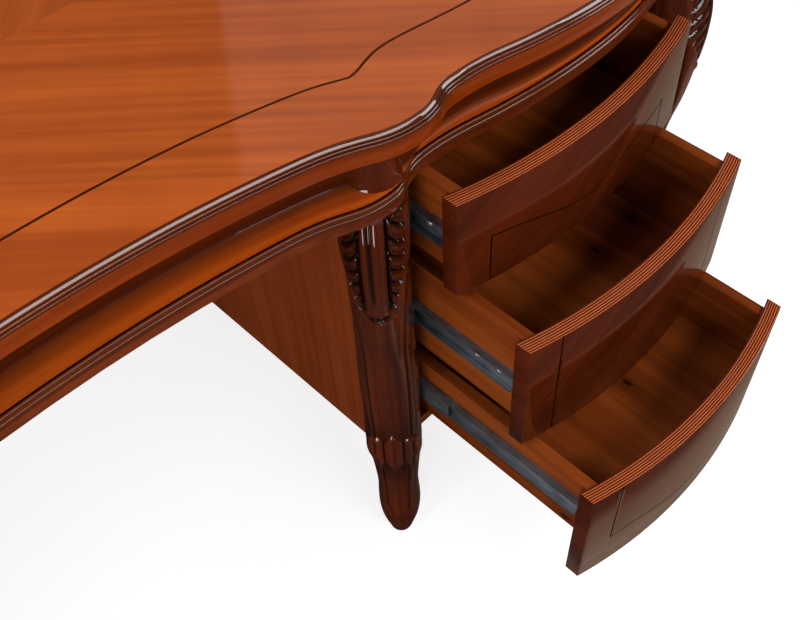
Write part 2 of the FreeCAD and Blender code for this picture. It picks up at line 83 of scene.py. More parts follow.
Colour = tuple[float, float, float]
Triple = tuple[float, float, float]
Point = tuple[float, float]
Faces = Sequence[Sequence[int]]
Numbers = dict[str, np.ndarray]
Socket = bpy.types.NodeSocket
SocketValue = Union[float, int, bool, str, tuple, Vector, Socket, bpy.types.ID]


# ---------------------------------------------------------------- nodes
class NodeSketch:
    """Adds and wires the nodes of one tree."""

    def __init__(self, tree: bpy.types.NodeTree) -> None:
        """Keeps the tree that the nodes go into."""
        self.tree = tree

    def feed(self, node: bpy.types.Node, inputs: dict[Union[str, int], SocketValue]) -> None:
        """Sets or links a node's inputs.

        Args:
            node: The node.
            inputs: A value or an output socket for each input, by name or number.
        """
        for key, value in inputs.items():
            if isinstance(value, Socket):
                self.tree.links.new(value, node.inputs[key])
            else:
                node.inputs[key].default_value = value

    def add(
        self, kind: str, inputs: Optional[dict[Union[str, int], SocketValue]] = None, **settings: object
    ) -> bpy.types.Node:
        """Adds a node.

        Args:
            kind: The node's type name.
            inputs: A value or an output socket for each input, by name or number.
            settings: The node's own properties.

        Returns:
            The new node.
        """
        node = self.tree.nodes.new(kind)
        for name, value in settings.items():
            setattr(node, name, value)
        self.feed(node, inputs or {})
        return node

    def math(self, operation: str, *values: SocketValue) -> Socket:
        """Adds a Math node and returns its result."""
        return self.add("ShaderNodeMath", dict(enumerate(values)), operation=operation).outputs[0]

    def scaled(self, vector: Socket, scale: Sequence[float]) -> Socket:
        """Multiplies a vector's three parts and returns the result."""
        node = self.add("ShaderNodeVectorMath", {0: vector, 1: tuple(scale)}, operation="MULTIPLY")
        return node.outputs[0]

    def here(self) -> Socket:
        """Returns the shaded point in the piece's own frame, in metres."""
        return self.add("ShaderNodeTexCoord").outputs["Object"]

    def parts(self, vector: Socket) -> bpy.types.NodeOutputs:
        """Takes a vector apart and returns its X, Y and Z."""
        return self.add("ShaderNodeSeparateXYZ", {0: vector}).outputs

    def joined(self, x: SocketValue, y: SocketValue = 0.0, z: SocketValue = 0.0) -> Socket:
        """Puts a vector together and returns it."""
        return self.add("ShaderNodeCombineXYZ", {"X": x, "Y": y, "Z": z}).outputs[0]

    def attribute(self, name: str) -> Socket:
        """Reads one of the piece's own number attributes."""
        return self.add("ShaderNodeAttribute", attribute_name=name).outputs["Fac"]

    def noise(self, vector: Socket, detail: float = 3.0, distortion: float = 0.0) -> Socket:
        """Reads noise of scale 1, about 0.5, at an already scaled vector."""
        values = {"Vector": vector, "Scale": 1.0, "Detail": detail, "Distortion": distortion}
        return self.add("ShaderNodeTexNoise", values).outputs["Fac"]

    def ranged(
        self, value: Socket, to_low: float, to_high: float, low: float = 0.0, high: float = 1.0
    ) -> Socket:
        """Maps a value's range, low to high, onto to_low to to_high and holds it to the ends."""
        return self.add("ShaderNodeMapRange", {0: value, 1: low, 2: high, 3: to_low, 4: to_high}).outputs[0]

    def bump(self, height: Socket, strength: float, distance: float) -> Socket:
        """Turns a relief, 0 to 1 over a distance in metres, into the surface's normal."""
        values = {"Strength": strength, "Distance": distance, "Height": height}
        return self.add("ShaderNodeBump", values).outputs[0]

    def ramp(self, factor: Socket, stops: Sequence[tuple[float, Colour]]) -> Socket:
        """Colours a value.

        Args:
            factor: The value to colour.
            stops: Positions and their colours, in order.

        Returns:
            The colour.
        """
        node = self.add("ShaderNodeValToRGB", {"Fac": factor})
        elements = node.color_ramp.elements
        for _ in range(len(stops) - len(elements)):
            elements.new(0.5)
        for element, (position, colour) in zip(elements, stops):
            element.position = position
            element.color = (*colour, 1.0)
        return node.outputs["Color"]

    def mix(
        self, factor: SocketValue, first: SocketValue, second: SocketValue, blend: str = "MIX"
    ) -> Socket:
        """Mixes two colours.

        Args:
            factor: Share of the second colour.
            first: The colour underneath.
            second: The colour on top.
            blend: How the second colour acts on the first.

        Returns:
            The mixed colour.
        """
        node = self.add("ShaderNodeMix", data_type="RGBA", blend_type=blend)
        colours = [part if isinstance(part, Socket) else (*part, 1.0) for part in (first, second)]
        self.feed(node, {0: factor, 6: colours[0], 7: colours[1]})
        return node.outputs[2]

    def dimmed(self, colour: Socket, level: Socket) -> Socket:
        """Multiplies a colour by a grey level and returns the result."""
        grey = self.add("ShaderNodeCombineColor", dict.fromkeys(range(3), level)).outputs[0]
        return self.mix(1.0, colour, grey, "MULTIPLY")


def new_surface(name: str) -> tuple[bpy.types.Material, bpy.types.Node, NodeSketch]:
    """Makes a material that has only its shader.

    Args:
        name: The material's name.

    Returns:
        The material, its shader and a sketch of its tree.
    """
    material = bpy.data.materials.new(name)
    material.use_nodes = True
    tree = material.node_tree
    return material, tree.nodes["Principled BSDF"], NodeSketch(tree)


def new_node_group(
    name: str, inputs: dict[str, str]
) -> tuple[bpy.types.NodeTree, NodeSketch, bpy.types.NodeOutputs]:
    """Makes a Geometry Nodes tree with named inputs and one mesh as its output.

    Args:
        name: The tree's name.
        inputs: The inputs' names and the last word of their socket types.

    Returns:
        The tree, a sketch of it and its given values.
    """
    tree = bpy.data.node_groups.new(name, "GeometryNodeTree")
    for label, kind in inputs.items():
        tree.interface.new_socket(label, in_out="INPUT", socket_type="NodeSocket" + kind)
    tree.interface.new_socket("Mesh", in_out="OUTPUT", socket_type="NodeSocketGeometry")
    sketch = NodeSketch(tree)
    return tree, sketch, sketch.add("NodeGroupInput").outputs


def end_node_group(sketch: NodeSketch, geometry: Socket, finish: Socket) -> None:
    """Ends a tree with plain mesh in its finish.

    Args:
        sketch: The tree.
        geometry: What it made.
        finish: The material to set.
    """
    real = sketch.add("GeometryNodeRealizeInstances", {"Geometry": geometry}).outputs[0]
    dressed = sketch.add("GeometryNodeSetMaterial", {"Geometry": real, "Material": finish}).outputs[0]
    sketch.add("NodeGroupOutput", {0: dressed})


# ---------------------------------------------------------------- finishes
class Grain(Enum):
    """Which way the fibres of a board run."""

    ALONG_X = "x"
    ALONG_Y = "y"
    ALONG_Z = "z"
    FITTED = "fitted"
    QUARTERED = "quartered"


@dataclass(frozen=True)
class Wood:
    """A stained and lacquered wood.

    FITTED grain follows a piece's own run and girth attributes, in metres along and across it.
    Scales of a pattern are its periods in a metre, along the fibres and across them.
    """

    name: str
    dark: Colour
    light: Colour
    grain: Grain
    bands: float = 16.0
    roughness: float = 0.34
    coat: float = 0.8
    coat_roughness: float = 0.06
    specular: float = 0.02
    fibre_depth: float = 0.00006
    fibre_strength: float = 0.35
    knots: bool = False
    # Painted shade: a dark colour mixed in where the piece's hollow attribute marks a recess.
    painted_recess_shade: Optional[Colour] = None

    band_stretch = 0.9
    band_bend = 0.5
    streak_stretch = 3.0
    streaks_a_band = 7
    streak_share = 0.45
    tone_stops = (0.36, 0.5, 0.62)
    shimmer_scale = (22.0, 3.0, 3.0)
    shimmer_swing = 0.22
    shimmer_floor = 0.89
    fibre_scale = (14.0, 520.0, 520.0)
    fibre_smoother = 0.05
    fibre_rougher = 0.07
    painted_shade_cover = 0.92
    knot_scale = (3.4, 7.0)
    knot_scatter = 0.9
    knot_core = (0.016, 0.032)
    knot_ring = (0.03, 0.12)
    knot_ring_cover = 0.6
    knot_ring_tone = 0.62
    knot_core_tone = 0.22

    def place(self, sketch: NodeSketch) -> Socket:
        """Finds the place along and across the fibres.

        Args:
            sketch: The material's tree.

        Returns:
            A place in metres whose x runs along the fibres.
        """
        if self.grain is Grain.FITTED:
            return sketch.joined(sketch.attribute("run"), sketch.attribute("girth"))
        parts = sketch.parts(sketch.here())
        order = {Grain.ALONG_X: (0, 1, 2), Grain.ALONG_Y: (1, 0, 2), Grain.ALONG_Z: (2, 0, 1)}
        return sketch.joined(*(parts[index] for index in order[self.grain]))

    def knotted(self, sketch: NodeSketch, place: Socket, clear: Socket) -> Socket:
        """Adds small dark knots with lighter rings.

        Args:
            sketch: The material's tree.
            place: The place along and across the fibres.
            clear: The clear wood's colour.

        Returns:
            The colour with knots.
        """
        parts = sketch.parts(place)
        along, across = self.knot_scale
        level = sketch.math("MULTIPLY", sketch.math("ADD", parts[1], parts[2]), across)
        spread = sketch.joined(sketch.math("MULTIPLY", parts[0], along), level)
        values = {"Vector": spread, "Scale": 1.0, "Randomness": self.knot_scatter}
        cells = sketch.add("ShaderNodeTexVoronoi", values, voronoi_dimensions="2D").outputs["Distance"]
        ring_cover = (self.knot_ring_cover,) * 3
        core = sketch.ramp(cells, [(self.knot_core[0], WHITE), (self.knot_core[1], BLACK)])
        ring = sketch.ramp(cells, [(self.knot_ring[0], ring_cover), (self.knot_ring[1], BLACK)])
        ringed = sketch.mix(ring, clear, tuple(self.knot_ring_tone * part for part in self.dark))
        return sketch.mix(core, ringed, tuple(self.knot_core_tone * part for part in self.dark))

    def colour(self, sketch: NodeSketch, place: Socket) -> Socket:
        """Lays broad bands, streaks and a cross shimmer over each other.

        Args:
            sketch: The material's tree.
            place: The place along and across the fibres.

        Returns:
            The wood's colour.
        """
        fine = self.streaks_a_band * self.bands
        broad = sketch.scaled(place, (self.band_stretch, self.bands, self.bands))
        bands = sketch.noise(broad, detail=2.0, distortion=self.band_bend)
        streaks = sketch.noise(sketch.scaled(place, (self.streak_stretch, fine, fine)))
        bands = sketch.math("MULTIPLY", bands, 1 - self.streak_share)
        blend = sketch.math("MULTIPLY_ADD", streaks, self.streak_share, bands)
        middle = tuple((a + b) / 2 for a, b in zip(self.dark, self.light))
        tone = sketch.ramp(blend, list(zip(self.tone_stops, (self.dark, middle, self.light))))
        shimmer = sketch.noise(sketch.scaled(place, self.shimmer_scale), detail=1.0)
        level = sketch.math("MULTIPLY_ADD", shimmer, self.shimmer_swing, self.shimmer_floor)
        tone = sketch.dimmed(tone, level)
        return self.knotted(sketch, place, tone) if self.knots else tone

    def material(self) -> bpy.types.Material:
        """Builds the finish.

        Returns:
            Its material.
        """
        material, shader, sketch = new_surface(self.name)
        place = self.place(sketch)
        colour = self.colour(sketch, place)
        # Painted shade: darkens the colour towards the dark colour where the hollow attribute is high.
        if self.painted_recess_shade:
            cover = sketch.ranged(sketch.attribute("hollow"), 0.0, self.painted_shade_cover)
            colour = sketch.mix(cover, colour, self.painted_recess_shade)
        fibres = sketch.noise(sketch.scaled(place, self.fibre_scale), detail=2.0)
        low, high = self.roughness - self.fibre_smoother, self.roughness + self.fibre_rougher
        sketch.feed(shader, {
            "Base Color": colour,
            "Roughness": sketch.ranged(fibres, low, high),
            "Normal": sketch.bump(fibres, self.fibre_strength, self.fibre_depth),
            "Coat Weight": self.coat,
            "Coat Roughness": self.coat_roughness,
            "Specular IOR Level": self.specular,
        })
        return material


@dataclass(frozen=True)
class QuarteredVeneer(Wood):
    """Diagonal veneer, matched about both centre lines of the top and turned in a middle band."""

    band_half: float = 0.089
    leaf_width: float = 0.30
    first_joint: float = -0.092
    joint_colour: Colour = (0.16, 0.05, 0.015)

    joint_half = 0.00025
    joint_cover = 0.5
    leaf_shift = 3.7
    leaf_rise = 1.9
    outer_leaves = 7.0
    tone_swing = 0.34
    tone_floor = 0.79

    def place(self, sketch: NodeSketch) -> Socket:
        """Finds the place on the leaves, each of which is cut from wood of its own.

        Args:
            sketch: The material's tree.

        Returns:
            A place in metres whose x runs along each leaf's fibres and z tells leaves apart.
        """
        parts = sketch.parts(sketch.here())
        x = sketch.math("ABSOLUTE", parts[0])
        y = sketch.math("ABSOLUTE", sketch.math("SUBTRACT", parts[1], MIDDLE_Y))
        outside = sketch.math("GREATER_THAN", y, self.band_half)
        turned = sketch.math("MULTIPLY", y, sketch.math("MULTIPLY_ADD", outside, 2.0, -1.0))
        along = sketch.math("MULTIPLY", sketch.math("ADD", x, turned), DIAGONAL)
        across = sketch.math("MULTIPLY", sketch.math("SUBTRACT", x, turned), DIAGONAL)
        leaf = sketch.math("DIVIDE", sketch.math("SUBTRACT", across, self.first_joint), self.leaf_width)
        leaf = sketch.math("MULTIPLY_ADD", outside, self.outer_leaves, sketch.math("FLOOR", leaf))
        shifted = sketch.math("MULTIPLY_ADD", leaf, self.leaf_shift, along)
        return sketch.joined(shifted, across, sketch.math("MULTIPLY", leaf, self.leaf_rise))

    def colour(self, sketch: NodeSketch, place: Socket) -> Socket:
        """Tones each leaf a little differently and draws the joints between them.

        Args:
            sketch: The material's tree.
            place: The place along and across the fibres.

        Returns:
            The veneer's colour.
        """
        parts = sketch.parts(place)
        leaf = sketch.math("ROUND", sketch.math("DIVIDE", parts[2], self.leaf_rise))
        chance = sketch.add("ShaderNodeTexWhiteNoise", {"W": leaf}, noise_dimensions="1D").outputs[0]
        level = sketch.math("MULTIPLY_ADD", chance, self.tone_swing, self.tone_floor)
        tone = sketch.dimmed(super().colour(sketch, place), level)
        offset = sketch.math("SUBTRACT", parts[1], self.first_joint)
        near = sketch.math("PINGPONG", offset, self.leaf_width / 2)
        joint = sketch.math("LESS_THAN", near, self.joint_half)
        return sketch.mix(sketch.math("MULTIPLY", joint, self.joint_cover), tone, self.joint_colour)


@dataclass(frozen=True)
class Lamination:
    """Bent plies seen on edge: light lines in dark red wood.

    It reads the piece's ply attribute, in metres from the outer face.
    """

    name: str
    ply: float = 0.0030
    line_share: float = 0.34
    line_fade: Point = (0.14, 0.1)
    dark: Colour = (0.085, 0.008, 0.002)
    light: Colour = (0.50, 0.13, 0.038)
    roughness: float = 0.4
    coat: float = 0.2
    coat_roughness: float = 0.15
    specular: float = 0.05
    wander: float = 0.0006
    wander_scale: Triple = (30.0, 200.0, 1.0)
    fleck_scale: Triple = (60.0, 1500.0, 1.0)
    fleck_swing: float = 0.5
    fleck_floor: float = 0.75
    relief: float = 0.0001
    relief_strength: float = 0.3

    def material(self) -> bpy.types.Material:
        """Builds the finish.

        Returns:
            Its material.
        """
        material, shader, sketch = new_surface(self.name)
        depth = sketch.attribute("ply")
        place = sketch.joined(sketch.attribute("run"), depth)
        wander = sketch.noise(sketch.scaled(place, self.wander_scale), detail=2.0)
        bent = sketch.math("MULTIPLY_ADD", wander, self.wander, depth)
        share = sketch.math("DIVIDE", sketch.math("PINGPONG", bent, self.ply / 2), self.ply / 2)
        edge = 1 - self.line_share
        before, after = self.line_fade
        tone = sketch.ramp(share, [(edge - before, self.dark), (edge + after, self.light)])
        fleck = sketch.noise(sketch.scaled(place, self.fleck_scale), detail=2.0)
        level = sketch.math("MULTIPLY_ADD", fleck, self.fleck_swing, self.fleck_floor)
        sketch.feed(shader, {
            "Base Color": sketch.dimmed(tone, level),
            "Normal": sketch.bump(share, self.relief_strength, self.relief),
            "Roughness": self.roughness,
            "Coat Weight": self.coat,
            "Coat Roughness": self.coat_roughness,
            "Specular IOR Level": self.specular,
        })
        return material


@dataclass(frozen=True)
class Zinc:
    """Galvanised sheet steel, with faint spangle and rolling lines along Y."""

    name: str
    dark: Colour = (0.075, 0.085, 0.10)
    light: Colour = (0.20, 0.215, 0.24)
    roughness: float = 0.3
    metallic: float = 0.6
    spangle_scale: Triple = (90.0, 40.0, 90.0)
    line_scale: Triple = (900.0, 6.0, 900.0)
    line_share: float = 0.5
    tone_stops: Point = (0.35, 0.65)
    smoother: float = 0.08
    rougher: float = 0.12
    relief: float = 0.00005
    relief_strength: float = 0.2

    def material(self) -> bpy.types.Material:
        """Builds the finish.

        Returns:
            Its material.
        """
        material, shader, sketch = new_surface(self.name)
        here = sketch.here()
        spangle = sketch.noise(sketch.scaled(here, self.spangle_scale), detail=2.0)
        lines = sketch.noise(sketch.scaled(here, self.line_scale), detail=2.0)
        spangle = sketch.math("MULTIPLY", spangle, 1 - self.line_share)
        blend = sketch.math("MULTIPLY_ADD", lines, self.line_share, spangle)
        low, high = self.roughness - self.smoother, self.roughness + self.rougher
        sketch.feed(shader, {
            "Base Color": sketch.ramp(blend, list(zip(self.tone_stops, (self.dark, self.light)))),
            "Roughness": sketch.ranged(blend, low, high),
            "Normal": sketch.bump(lines, self.relief_strength, self.relief),
            "Metallic": self.metallic,
        })
        return material


# ---------------------------------------------------------------- plan lines
def four_quarters(front: np.ndarray) -> np.ndarray:
    """Repeats a front right quarter, drawn to the right about the desk's middle, all round it."""
    right = front[::-1] * (1, -1)
    return np.vstack([front[:-1], right[:-1], -front[:-1], -right[:-1]]) + (0.0, MIDDLE_Y)


@dataclass(frozen=True)
class Arc:
    """One arc of a plan line: it leaves start along tangent and arrives at end."""

    start: Vector
    tangent: Vector
    end: Vector

    step_turn = math.radians(3.5)
    step_length = 0.014

    def turn(self) -> float:
        """Angle turned through, to the left."""
        chord = self.end - self.start
        return 2 * math.atan2(self.tangent.cross(chord), chord.dot(self.tangent))

    def at(self, share: float, inset: float) -> Vector:
        """A point part of the way round.

        Args:
            share: 0 at the start and 1 at the end.
            inset: Distance to the left of the arc.

        Returns:
            The point.
        """
        chord = self.end - self.start
        left = Vector((-self.tangent.y, self.tangent.x))
        centre = self.start + left * (chord.length_squared / (2 * self.tangent.cross(chord)))
        spin = Matrix.Rotation(self.turn() * share, 2)
        return centre + spin @ (self.start + left * inset - centre)

    def steps(self) -> int:
        """How many straight steps draw it smoothly."""
        length = (self.end - self.start).length
        return max(2, math.ceil(abs(self.turn()) / self.step_turn), math.ceil(length / self.step_length))


@dataclass(frozen=True)
class PlanRow:
    """One row of a plan line's front right quarter, in metres.

    The heading is in degrees from +X, and None where the arc on its open side sets it. The lead
    is the share of the way to the next row that the first of two arcs takes; 1 is one arc.
    """

    x: float
    reach: float
    heading: Optional[float]
    lead: float


@dataclass(frozen=True)
class PlanLine:
    """A closed line round the desk, alike in its four quarters."""

    rows: tuple[PlanRow, ...]

    def arcs(self) -> list[Arc]:
        """Draws the front right quarter, about the middle of the desk.

        Returns:
            Its arcs, from the middle of the front to the middle of the side.
        """
        points = [Vector((row.x, -DRAWER_PLANE - row.reach)) for row in self.rows]
        tangents: list[Optional[Vector]] = []
        for row in self.rows:
            angle = None if row.heading is None else math.radians(row.heading)
            tangents.append(None if angle is None else Vector((math.cos(angle), math.sin(angle))))
        for index, tangent in enumerate(tangents):
            if tangent is None:
                other = index - 1 if self.rows[index - 1].lead == 1 else index + 1
                chord = (points[index] - points[other]).normalized()
                known = tangents[other]
                tangents[index] = chord * (2 * chord.dot(known)) - known
        arcs: list[Arc] = []
        for index, row in enumerate(self.rows[:-1]):
            ends = (points[index], tangents[index], points[index + 1], tangents[index + 1])
            arcs += [Arc(*ends[:3])] if row.lead == 1 else self.two_arcs(*ends, row.lead)
        return arcs

    @staticmethod
    def two_arcs(start: Vector, tangent: Vector, end: Vector, last: Vector, lead: float) -> list[Arc]:
        """Two arcs that leave and arrive along given headings.

        Args:
            start: First point.
            tangent: Heading at the first point.
            end: Last point.
            last: Heading at the last point.
            lead: Share of the way that the first arc takes.

        Returns:
            The two arcs.
        """
        chord = end - start
        ratio = lead / (1 - lead)
        a = 2 * ratio * (tangent.dot(last) - 1)
        b = -2 * chord.dot(tangent * ratio + last)
        c = chord.length_squared
        straight = abs(a) < ALIKE
        reach = -c / b if straight else (-b - math.sqrt(b * b - 4 * a * c)) / (2 * a)
        first = start + tangent * reach * ratio
        second = end - last * reach
        joint = first + (second - first) * lead
        return [Arc(start, tangent, joint), Arc(joint, (second - first).normalized(), end)]

    def ring(self, inset: float, steps: Optional[list[int]] = None) -> np.ndarray:
        """Points of the whole line, running left to right along the front.

        Args:
            inset: Distance inwards from the line.
            steps: Steps of each arc, where two lines have to match.

        Returns:
            An array of plan points.
        """
        arcs = self.arcs()
        counts = steps or [arc.steps() for arc in arcs]
        quarter = [arc.at(i / n, inset) for arc, n in zip(arcs, counts) for i in range(n)]
        quarter.append(arcs[-1].at(1.0, inset))
        return four_quarters(np.array([tuple(point) for point in quarter]))


FRIEZE_LINE = PlanLine((
    PlanRow(0.0, -0.0454, 0, 1),
    PlanRow(0.3222, -0.0071, None, 0.6),
    PlanRow(0.4296, 0.0278, 0, 0.5),
    PlanRow(0.4838, 0.0146, 0, 0.3),
    PlanRow(0.7080, 0.0432, 0, 0.78),
    PlanRow(0.8440, 0.0254, 0, 0.5),
    PlanRow(0.8940, 0.0438, 0, 0.5),
    PlanRow(0.9338, 0.0060, 90, 0.5),
    PlanRow(0.9240, -0.0700, None, 1),
    PlanRow(0.9310, -0.4250, 90, 1),
))
BEAD_LINE = PlanLine((
    PlanRow(0.0, -0.0225, 0, 1),
    PlanRow(0.2979, 0.0057, None, 0.55),
    PlanRow(0.3951, 0.0332, 0, 0.45),
    PlanRow(0.4549, 0.0144, 0, 0.27),
    PlanRow(0.6951, 0.0394, 0, 0.8),
    PlanRow(0.8420, 0.0214, 0, 0.5),
    PlanRow(0.8910, 0.0382, 0, 0.5),
    PlanRow(0.9288, 0.0030, 90, 0.5),
    PlanRow(0.9190, -0.0700, None, 1),
    PlanRow(0.9260, -0.4250, 90, 1),
))


# ---------------------------------------------------------------- mesh helpers
def smooth_step(value: np.ndarray, low: float, high: float) -> np.ndarray:
    """Rises smoothly from 0 at low to 1 at high."""
    share = np.clip((value - low) / (high - low), 0.0, 1.0)
    return share * share * (3 - 2 * share)


def swell(value: np.ndarray, centre: float, width: float) -> np.ndarray:
    """A smooth hump of height 1 about a centre."""
    return np.exp(-(((value - centre) / width) ** 2))


def lifted(plan: np.ndarray, height: float) -> np.ndarray:
    """Sets plan points at one height and returns them."""
    return np.column_stack([plan, np.full(len(plan), height)])


def turned(outline: Sequence[Point], sides: int) -> np.ndarray:
    """Turns an outline about +Z.

    Args:
        outline: Radius and height of each loop, from the bottom up.
        sides: Points in a loop.

    Returns:
        The points, loop after loop.
    """
    angles = np.linspace(0, 2 * math.pi, sides, endpoint=False)
    circle = np.column_stack([np.cos(angles), np.sin(angles)])
    return np.vstack([lifted(radius * circle, height) for radius, height in outline])


def leftwards(heading: np.ndarray) -> np.ndarray:
    """Vectors of length 1 to the left of each heading."""
    unit = heading / np.linalg.norm(heading, axis=1)[:, None]
    return np.column_stack([-unit[:, 1], unit[:, 0]])


def mesh_object(
    name: str, points: np.ndarray, faces: Faces, numbers: Optional[Numbers] = None
) -> bpy.types.Object:
    """Makes an object from points and faces.

    Args:
        name: The object's name.
        points: One row a vertex, in metres.
        faces: Vertex numbers of each face.
        numbers: Number attributes to store on the vertices.

    Returns:
        The object, linked to the scene.
    """
    mesh = bpy.data.meshes.new(name)
    corners = [tuple(map(float, point)) for point in points]
    mesh.from_pydata(corners, [], [tuple(face) for face in faces])
    store_numbers(mesh, numbers or {})
    piece = bpy.data.objects.new(name, mesh)
    bpy.context.scene.collection.objects.link(piece)
    return piece


def store_numbers(mesh: bpy.types.Mesh, numbers: Numbers) -> None:
    """Stores number attributes on a mesh.

    Args:
        mesh: The mesh.
        numbers: One value a vertex for each attribute, by name.
    """
    for label, values in numbers.items():
        layer = mesh.attributes.get(label) or mesh.attributes.new(label, "FLOAT", "POINT")
        layer.data.foreach_set("value", np.asarray(values, np.float32))


def grid_faces(rows: int, columns: int, closed_rows: bool = False) -> list[tuple[int, ...]]:
    """Faces between rows of points that each run round a closed loop.

    Args:
        rows: Number of loops.
        columns: Points in a loop.
        closed_rows: Whether the last loop joins the first.

    Returns:
        Four vertex numbers a face.
    """
    faces = []
    for row in range(rows if closed_rows else rows - 1):
        below, above = row * columns, (row + 1) % rows * columns
        for column in range(columns):
            after = (column + 1) % columns
            faces.append((below + column, below + after, above + after, above + column))
    return faces


def end_faces(rows: int, columns: int) -> list[tuple[int, ...]]:
    """Faces that close the first and the last of a row of loops."""
    return [tuple(range(row * columns, (row + 1) * columns)) for row in (0, rows - 1)]


def tidy_mesh(piece: bpy.types.Object, sharp_degrees: float = 35.0) -> bpy.types.Object:
    """Merges doubles, points the faces outwards and shades the piece smooth between sharp edges.

    Args:
        piece: The piece, changed in place.
        sharp_degrees: Edges sharper than this stay crisp.

    Returns:
        The same piece.
    """
    work = bmesh.new()
    work.from_mesh(piece.data)
    bmesh.ops.remove_doubles(work, verts=work.verts, dist=DOUBLE_DISTANCE)
    bmesh.ops.dissolve_degenerate(work, dist=SLIVER_DISTANCE, edges=work.edges)
    bmesh.ops.recalc_face_normals(work, faces=work.faces)
    work.to_mesh(piece.data)
    work.free()
    piece.data.polygons.foreach_set("use_smooth", [True] * len(piece.data.polygons))
    piece.data.set_sharp_from_angle(angle=math.radians(sharp_degrees))
    return piece


def applied(piece: bpy.types.Object) -> bpy.types.Object:
    """Turns a piece's modifiers into plain mesh and removes them.

    Args:
        piece: The piece, changed in place.

    Returns:
        The same piece.
    """
    bpy.context.view_layer.update()
    graph = bpy.context.evaluated_depsgraph_get()
    shown = piece.evaluated_get(graph)
    mesh = bpy.data.meshes.new_from_object(shown, preserve_all_data_layers=True, depsgraph=graph)
    piece.modifiers.clear()
    old = piece.data
    piece.data = mesh
    if old.users == 0:
        bpy.data.meshes.remove(old)
    mesh.name = piece.name
    return piece


def cut_away(piece: bpy.types.Object, cutter: bpy.types.Object) -> None:
    """Takes a cutter's shape out of a piece and removes the cutter.

    Args:
        piece: The piece to cut.
        cutter: A closed mesh.
    """
    modifier = piece.modifiers.new("cut", "BOOLEAN")
    modifier.operation = "DIFFERENCE"
    modifier.solver = "EXACT"
    modifier.object = cutter
    applied(piece)
    bpy.data.objects.remove(cutter)


def run_through(
    piece: bpy.types.Object, tree: bpy.types.NodeTree, values: dict[str, object], *helpers: bpy.types.Object
) -> bpy.types.Object:
    """Runs a piece through a Geometry Nodes tree and keeps the result as plain mesh.

    Args:
        piece: The piece, changed in place.
        tree: The tree.
        values: What goes into the tree's inputs, by name.
        helpers: Objects that only the tree needs; they are removed.

    Returns:
        The same piece.
    """
    modifier = piece.modifiers.new(tree.name, "NODES")
    modifier.node_group = tree
    for item in tree.interface.items_tree:
        if item.in_out == "INPUT" and item.name in values:
            modifier[item.identifier] = values[item.name]
    applied(piece)
    for helper in helpers:
        bpy.data.objects.remove(helper)
    return piece


def polygon_curve(name: str, points: Sequence[Point], height: float = 0.0) -> bpy.types.Object:
    """A closed curve of straight runs.

    Args:
        name: The curve's name.
        points: Plan points.
        height: Height of the whole curve.

    Returns:
        The curve object.
    """
    curve = bpy.data.curves.new(name, "CURVE")
    curve.dimensions = "3D"
    spline = curve.splines.new("POLY")
    spline.points.add(len(points) - 1)
    for target, (x, y) in zip(spline.points, points):
        target.co = (x, y, height, 1.0)
    spline.use_cyclic_u = True
    piece = bpy.data.objects.new(name, curve)
    bpy.context.scene.collection.objects.link(piece)
    return piece


def wear(piece: bpy.types.Object, *materials: bpy.types.Material) -> None:
    """Gives a piece these materials and no others.

    Args:
        piece: The piece.
        materials: Its materials, in the order of its faces' numbers for them.
    """
    piece.data.materials.clear()
    for material in materials:
        piece.data.materials.append(material)


def give(piece: bpy.types.Object, slot: str, body: str, *nodes: str) -> None:
    """Attaches a dressed piece to the body that it rides on and hides the nodes that it stands for.

    Args:
        piece: The finished piece.
        slot: Not used.
        body: The body that it rides on.
        nodes: The nodes that it stands for.
    """
    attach(piece, body)
    if nodes:
        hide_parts(*nodes)
    LOG.info("%s: %d faces on %s", piece.name, len(piece.data.polygons), body)


# ---------------------------------------------------------------- swept mouldings
class SweptMoulding:
    """A Geometry Nodes tree that sweeps a profile round a level path.

    The profile's x is the distance outwards from the path and its y the depth below it. The tree
    stores run and girth, which let the grain follow the moulding, matched at the quarters.
    """

    def __init__(self) -> None:
        """Builds the tree."""
        inputs = {"Path": "Object", "Profile": "Object", "Finish": "Material", "Quarters": "Float"}
        self.tree, sketch, given = new_node_group("swept_moulding", inputs)
        path = self.measured(sketch, given["Path"], "run", given["Quarters"])
        profile = self.measured(sketch, given["Profile"], "girth", 1.0)
        upright = sketch.add("GeometryNodeSetCurveNormal", {"Curve": path}, mode="Z_UP").outputs[0]
        swept = sketch.add("GeometryNodeCurveToMesh", {"Curve": upright, "Profile Curve": profile})
        end_node_group(sketch, swept.outputs[0], given["Finish"])

    @staticmethod
    def measured(sketch: NodeSketch, source: Socket, label: str, folds: SocketValue) -> Socket:
        """Reads a curve object and stores the length along it, folded back on itself.

        Args:
            sketch: The tree.
            source: The curve object.
            label: The attribute's name.
            folds: In how many parts the length runs up and down; 1 doesn't fold.

        Returns:
            The curve.
        """
        curve = sketch.add("GeometryNodeObjectInfo", {"Object": source}).outputs["Geometry"]
        total = sketch.add("GeometryNodeCurveLength", {0: curve}).outputs[0]
        length = sketch.add("GeometryNodeSplineParameter").outputs["Length"]
        folded = sketch.math("PINGPONG", length, sketch.math("DIVIDE", total, folds))
        values = {"Geometry": curve, "Name": label, "Value": folded}
        stored = sketch.add("GeometryNodeStoreNamedAttribute", values, data_type="FLOAT", domain="POINT")
        return stored.outputs[0]

    def sweep(
        self, name: str, path: np.ndarray, height: float, profile: Sequence[Point],
        finish: bpy.types.Material,
    ) -> bpy.types.Object:
        """Sweeps one moulding.

        Args:
            name: The piece's name.
            path: Plan points of the path.
            height: Height of the path.
            profile: Distances outwards and below, round the profile.
            finish: Its material.

        Returns:
            The moulding.
        """
        rail = polygon_curve(name + "_path", path, height)
        section = polygon_curve(name + "_profile", profile)
        piece = mesh_object(name, np.empty((0, 3)), [])
        values = {"Path": rail, "Profile": section, "Finish": finish, "Quarters": 4.0}
        return tidy_mesh(run_through(piece, self.tree, values, rail, section))


